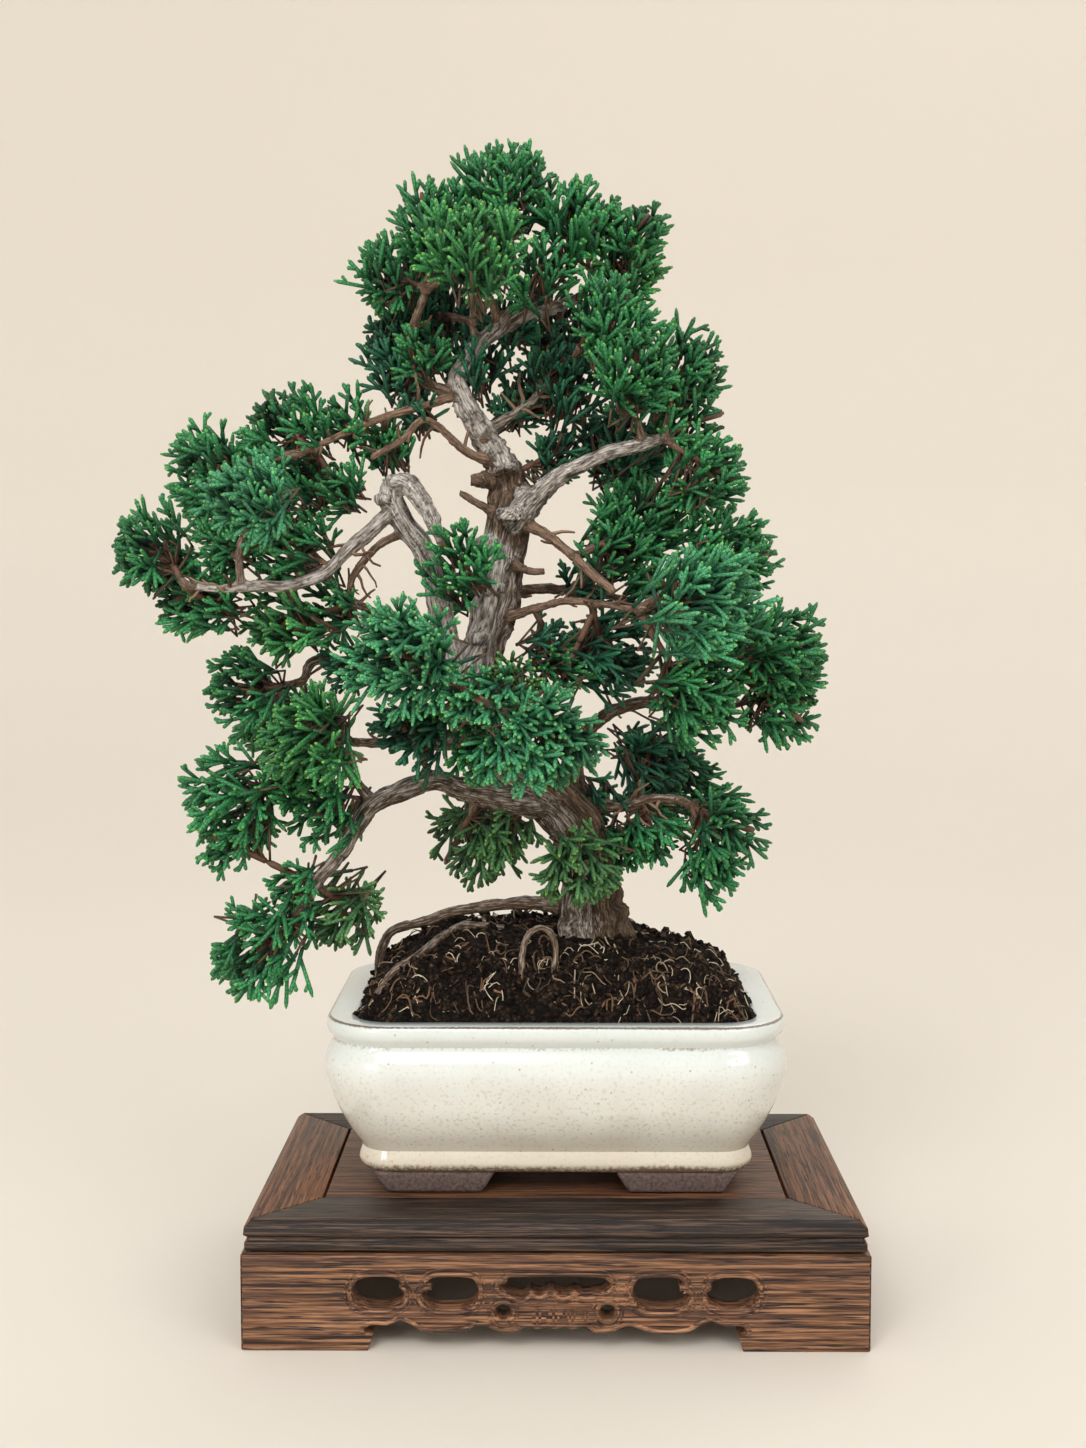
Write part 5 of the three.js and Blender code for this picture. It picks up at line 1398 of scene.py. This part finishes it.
def make_spray(cord, length):
    """A fan in the plane of x and z, in mm from its root: an axis in two bent parts, and side cords
    that lean forward to either side, straight and well apart, some of them forked."""
    joint = Vector((draw.uniform(-0.07, 0.07) * length, draw.uniform(-0.07, 0.07) * length, 0.5 * length))
    end = Vector((0, 0, length))
    parts = [cord_copy(cord, Vector(), joint.normalized(), joint.length + 0.5, AXIS_RADIUS, 0.3),
             cord_copy(cord, joint, (end - joint).normalized(), (end - joint).length, AXIS_RADIUS)]
    side_roll = draw.choice((0, math.pi))
    at = draw.uniform(0.12, 0.22) * length
    while at < 0.84 * length:
        share = at / length
        root = joint * (share / 0.5) if share < 0.5 else joint.lerp(end, (share - 0.5) / 0.5)
        roll = side_roll + draw.gauss(0, 0.4)
        lean = math.radians(draw.uniform(*SIDE_LEAN))
        way = leaning(roll, lean)
        reach = (draw.uniform(0.78, 1.02) * length - at) / math.cos(lean)
        reach = max(3.2, min(reach, draw.uniform(*SIDE_REACH)))
        parts.append(cord_copy(cord, root, way, reach, SIDE_RADIUS))
        for fork_at in [draw.uniform(*span) for span in FORK_PLACES]:
            if reach < 5 or draw.random() > FORK_CHANCE:
                continue
            inward = leaning(roll + math.pi + draw.gauss(0, 0.4), math.radians(draw.uniform(2, 14)))
            outward = leaning(roll + draw.gauss(0, 0.5), math.radians(draw.uniform(62, 80)))
            fork_way = inward if draw.random() < 0.5 else outward
            parts.append(cord_copy(cord, root + way * reach * fork_at, fork_way,
                                   draw.uniform(*FORK_LENGTH), STUB_RADIUS))
        side_roll += math.pi
        at += draw.uniform(*SIDE_GAP)
    return join("spray", parts)


def twig_between(twig, start, knee, end, radius, woody):
    parts = []
    for a, b in ((start, knee), (knee, end)):
        way = b - a
        if way.length > 0.3:
            parts.append(cord_copy(twig, a, way.normalized(), way.length + 0.4, radius, 0, woody))
    return parts


def spread_ways(taken, count, growth):
    """Ways out of a pad's middle that keep clear of each other, few of them back to the tree."""
    ways = [way.normalized() for way in taken]
    added = []
    while len(added) < count:
        tries = [any_way() for _ in range(9)]
        tries = [way for way in tries if way.dot(growth) > -0.4] or [growth]
        best = min(tries, key=lambda way: max((way.dot(other) for other in ways), default=0))
        ways.append(best)
        added.append(best)
    return added


def pad_sprays(pad):
    """The tip, way and length of each spray of a pad: one on each packed cord, and more between.
    Sprays lean from the way out of the pad towards the way that the pad grows."""
    middle, out, wide = Vector(pad["middle"]), -Vector(pad["back"]), pad["wide"]
    grown = Vector(GROWN.get(pad["name"], (0, 0, 0)))
    growth = (middle - Vector(TREE_HEART)).normalized()
    ball = middle - out * 2
    spokes = []
    for tip in pad["tips"]:
        spoke = Vector(tip) - ball
        spokes.append(spoke * min(1, wide / spoke.length))
    fill = SPRAY_SHARE * (AIRY if pad["name"] in AIRY_PADS else 1)
    count = round(fill * wide * wide)
    spokes = draw.sample(spokes, min(len(spokes), count))
    added = spread_ways(spokes, max(6, count - len(spokes)), growth)
    spokes += [way * wide * draw.uniform(0.55, 1.04) for way in added]
    shortest, longest = SPRAY_REACH
    least, most = GROWTH_PULL
    places = []
    for spoke in spokes:
        way = spoke.normalized()
        pull = min(most, max(least, 0.55 + 0.25 * way.dot(growth)))
        lean = Vector([draw.gauss(0, 0.12) for _ in range(3)])
        way = way * (1 - pull) + growth * pull + lean
        way.y *= FAN_DEPTH
        length = min(longest, max(shortest, spoke.length * draw.uniform(0.8, 1.15)))
        tip = ball + spoke + grown
        tip = Vector((max(tip.x, LEFT_EDGE), max(tip.y, FRONT_EDGE), tip.z))
        places.append((tip, way.normalized(), length))
    return places


def grow_pad(pad, cord, twig, sprays):
    """The stem, twigs and sprays of one pad, as one piece in plan mm."""
    foot, middle = Vector(pad["foot"]), Vector(pad["middle"])
    out = -Vector(pad["back"])
    stem_end = middle + (middle - foot).normalized() * pad["wide"] * 0.2
    stem_knee = foot + out * (middle - foot).length * 0.5
    parts = twig_between(cord, foot - out, stem_knee, stem_end, STEM_RADIUS, 1.0)
    for tip, way, length in pad_sprays(pad):
        nearest = min(SPRAY_LENGTHS, key=lambda known: abs(known - length))
        mesh = draw.choice(sprays[nearest]).data.copy()
        root = tip - way * length
        roll = Matrix.Rotation(draw.gauss(0, FAN_ROLL), 4, "Z")
        across = way.cross(Vector((0, 1, 0))).normalized()
        turn = Matrix((across, way.cross(across), way)).transposed().to_4x4()
        stretch = Matrix.Diagonal((1, 1, length / nearest, 1))
        mesh.transform(Matrix.Translation(root) @ turn @ roll @ stretch)
        set_attribute(mesh, "shade", np.full(len(mesh.vertices), draw.random()))
        parts.append(new_object("spray_copy", mesh))
        along = (root - foot).dot(stem_end - foot) / (stem_end - foot).length_squared - 0.15
        along = max(0.15, min(0.95, along))
        stem_point = (foot.lerp(stem_knee, along / 0.5) if along < 0.5
                      else stem_knee.lerp(stem_end, (along - 0.5) / 0.5))
        knee = root - way * 0.35 * (root - stem_point).length
        parts += twig_between(twig, stem_point, knee, root, INNER_TWIG_RADIUS, 0.75)
    piece = join("sprays_" + pad["name"], parts)
    # Painted shade: points near the pad's middle get an inner value, which darkens their leaf colour
    depth = np.linalg.norm(points_of(piece.data) - np.array(middle - out * 2), axis=1)
    set_attribute(piece.data, "inner", np.clip(1 - depth / (0.85 * pad["wide"]), 0, 1))
    piece.data.transform(Matrix.Translation(PLAN_SHIFT) @ Matrix.Scale(MM, 4))
    return piece


# Tufts between the imported pads: name, plan place, radius in mm and kind of foliage; the dark kind paints
# shade on tufts inside and behind the crown
INNER_TUFTS = (
    ("crown_left_under", (-43, 0, 317), 12, "green"),
    ("crown_heart", (-5, -8, 343), 14, "green"),
    ("crown_under", (-1, 8, 318), 13, "dark"),
    ("crown_low", (-9, 24, 308), 12, "dark"),
    ("crown_right_end", (29, -4, 359), 12, "green"),
    ("left_bridge", (-72, -2, 296), 12, "green"),
    ("left_bridge_low", (-58, 4, 288), 9, "green"),
    ("left_heart", (-90, -8, 253), 16, "green"),
    ("left_low", (-112, -12, 232), 12, "green"),
    ("centre", (-32, -16, 247), 14, "green"),
    ("under_right_branch", (3, 14, 286), 13, "dark"),
    ("right_heart", (24, -2, 252), 15, "green"),
    ("right_heart_low", (12, 12, 243), 11, "dark"),
    ("mid_spray", (-12, -16, 205), 14, "olive"),
    ("mid_spray_back", (1, 4, 216), 13, "dark"),
    ("front_left_low", (-34, -34, 201), 12, "blue"),
    ("lower_left_low", (-79, -14, 164), 15, "green"),
    ("lower_left_end", (-112, -18, 156), 12, "green"),
    ("droop_top", (-89, -18, 139), 11, "green"),
    ("hanging_right", (-16, 6, 150), 13, "olive"),
    ("low_right_heart", (34, 0, 152), 14, "green"),
    ("low_right_end", (53, -6, 141), 13, "green"),
    ("right_end_low", (81, -4, 195), 11, "green"),
    ("right_end_top", (69, -4, 249), 10, "green"),
    ("crown_back_low_left", (-54, 8, 311), 14, "dark"),
    ("crown_back_low", (-27, 16, 316), 15, "dark"),
    ("crown_back_low_right", (7, 14, 305), 14, "dark"),
    ("left_shoulder", (-58, 4, 286), 10, "green"),
    ("left_pad_right", (-72, -8, 271), 12, "green"),
    ("crown_left_low_in", (-46, 2, 299), 9, "dark"),
    ("crown_under_right", (-14, 14, 303), 9, "dark"),
    ("crown_gap", (-15, 22, 332), 13, "dark"),
    ("left_notch", (-110, -14, 252), 12, "green"),
    ("left_root", (-79, -6, 230), 13, "green"),
    ("between_trunks", (-34, 12, 239), 12, "green"),
    ("right_gap", (31, 2, 239), 11, "green"),
    ("left_gap", (-72, -4, 212), 11, "dark"),
    ("low_front_gap", (-28, -20, 184), 12, "green"),
    ("lower_left_inner", (-90, -10, 171), 11, "green"),
    ("low_right_gap", (26, 4, 149), 12, "green"),
    ("low_right_gap_in", (17, 6, 164), 10, "dark"),
    ("droop_gap", (-86, -16, 125), 10, "green"),
    ("front_middle", (-22, -36, 201), 14, "blue"),
    ("front_middle_low", (-16, -34, 182), 12, "blue"),
    ("mid_right_lace", (3, -6, 210), 11, "green"),
)


def read_tufts(routes):
    """The tufts as pads, each on a stem from the nearest wood."""
    guides = np.concatenate(routes)
    tufts = []
    for name, place, wide, kind in INNER_TUFTS:
        middle = np.array(place, float)
        gaps = np.linalg.norm(guides[:, :3] - middle, axis=1) - guides[:, 3]
        foot = guides[gaps.argmin(), :3]
        back = (foot - middle) / np.linalg.norm(foot - middle)
        tufts.append({"name": name, "slot": "foliage_" + kind, "foot": foot, "back": back, "tips": [],
                      "middle": middle, "wide": wide})
    return tufts


def make_foliage(pads, routes):
    cord = make_cord("cord", CORD_SIDES, CORD_RINGS)
    twig = make_cord("twig", TWIG_SIDES, TWIG_RINGS)
    sprays = {length: [make_spray(cord, length) for _ in range(SPRAYS_OF_EACH)]
              for length in SPRAY_LENGTHS}
    looks = {slot: leaf_material(*look) for slot, look in LEAF_LOOKS.items()}
    for pad in pads:
        piece = grow_pad(pad, cord, twig, sprays)
        finish_piece(piece, looks[pad["slot"]], pad["slot"], pad["node"])
    for tuft in read_tufts(routes):
        finish_piece(grow_pad(tuft, cord, twig, sprays), looks[tuft["slot"]], tuft["slot"])
    for known in sprays.values():
        for spray in known:
            bpy.data.objects.remove(spray)
    bpy.data.objects.remove(cord)
    bpy.data.objects.remove(twig)


make_studio()
make_stand()
make_pot()
make_screens()
make_soil()
tree_pads = read_pads()
tree_routes = make_wood(tree_pads)
make_spurs(tree_routes)
make_foliage(tree_pads, tree_routes)
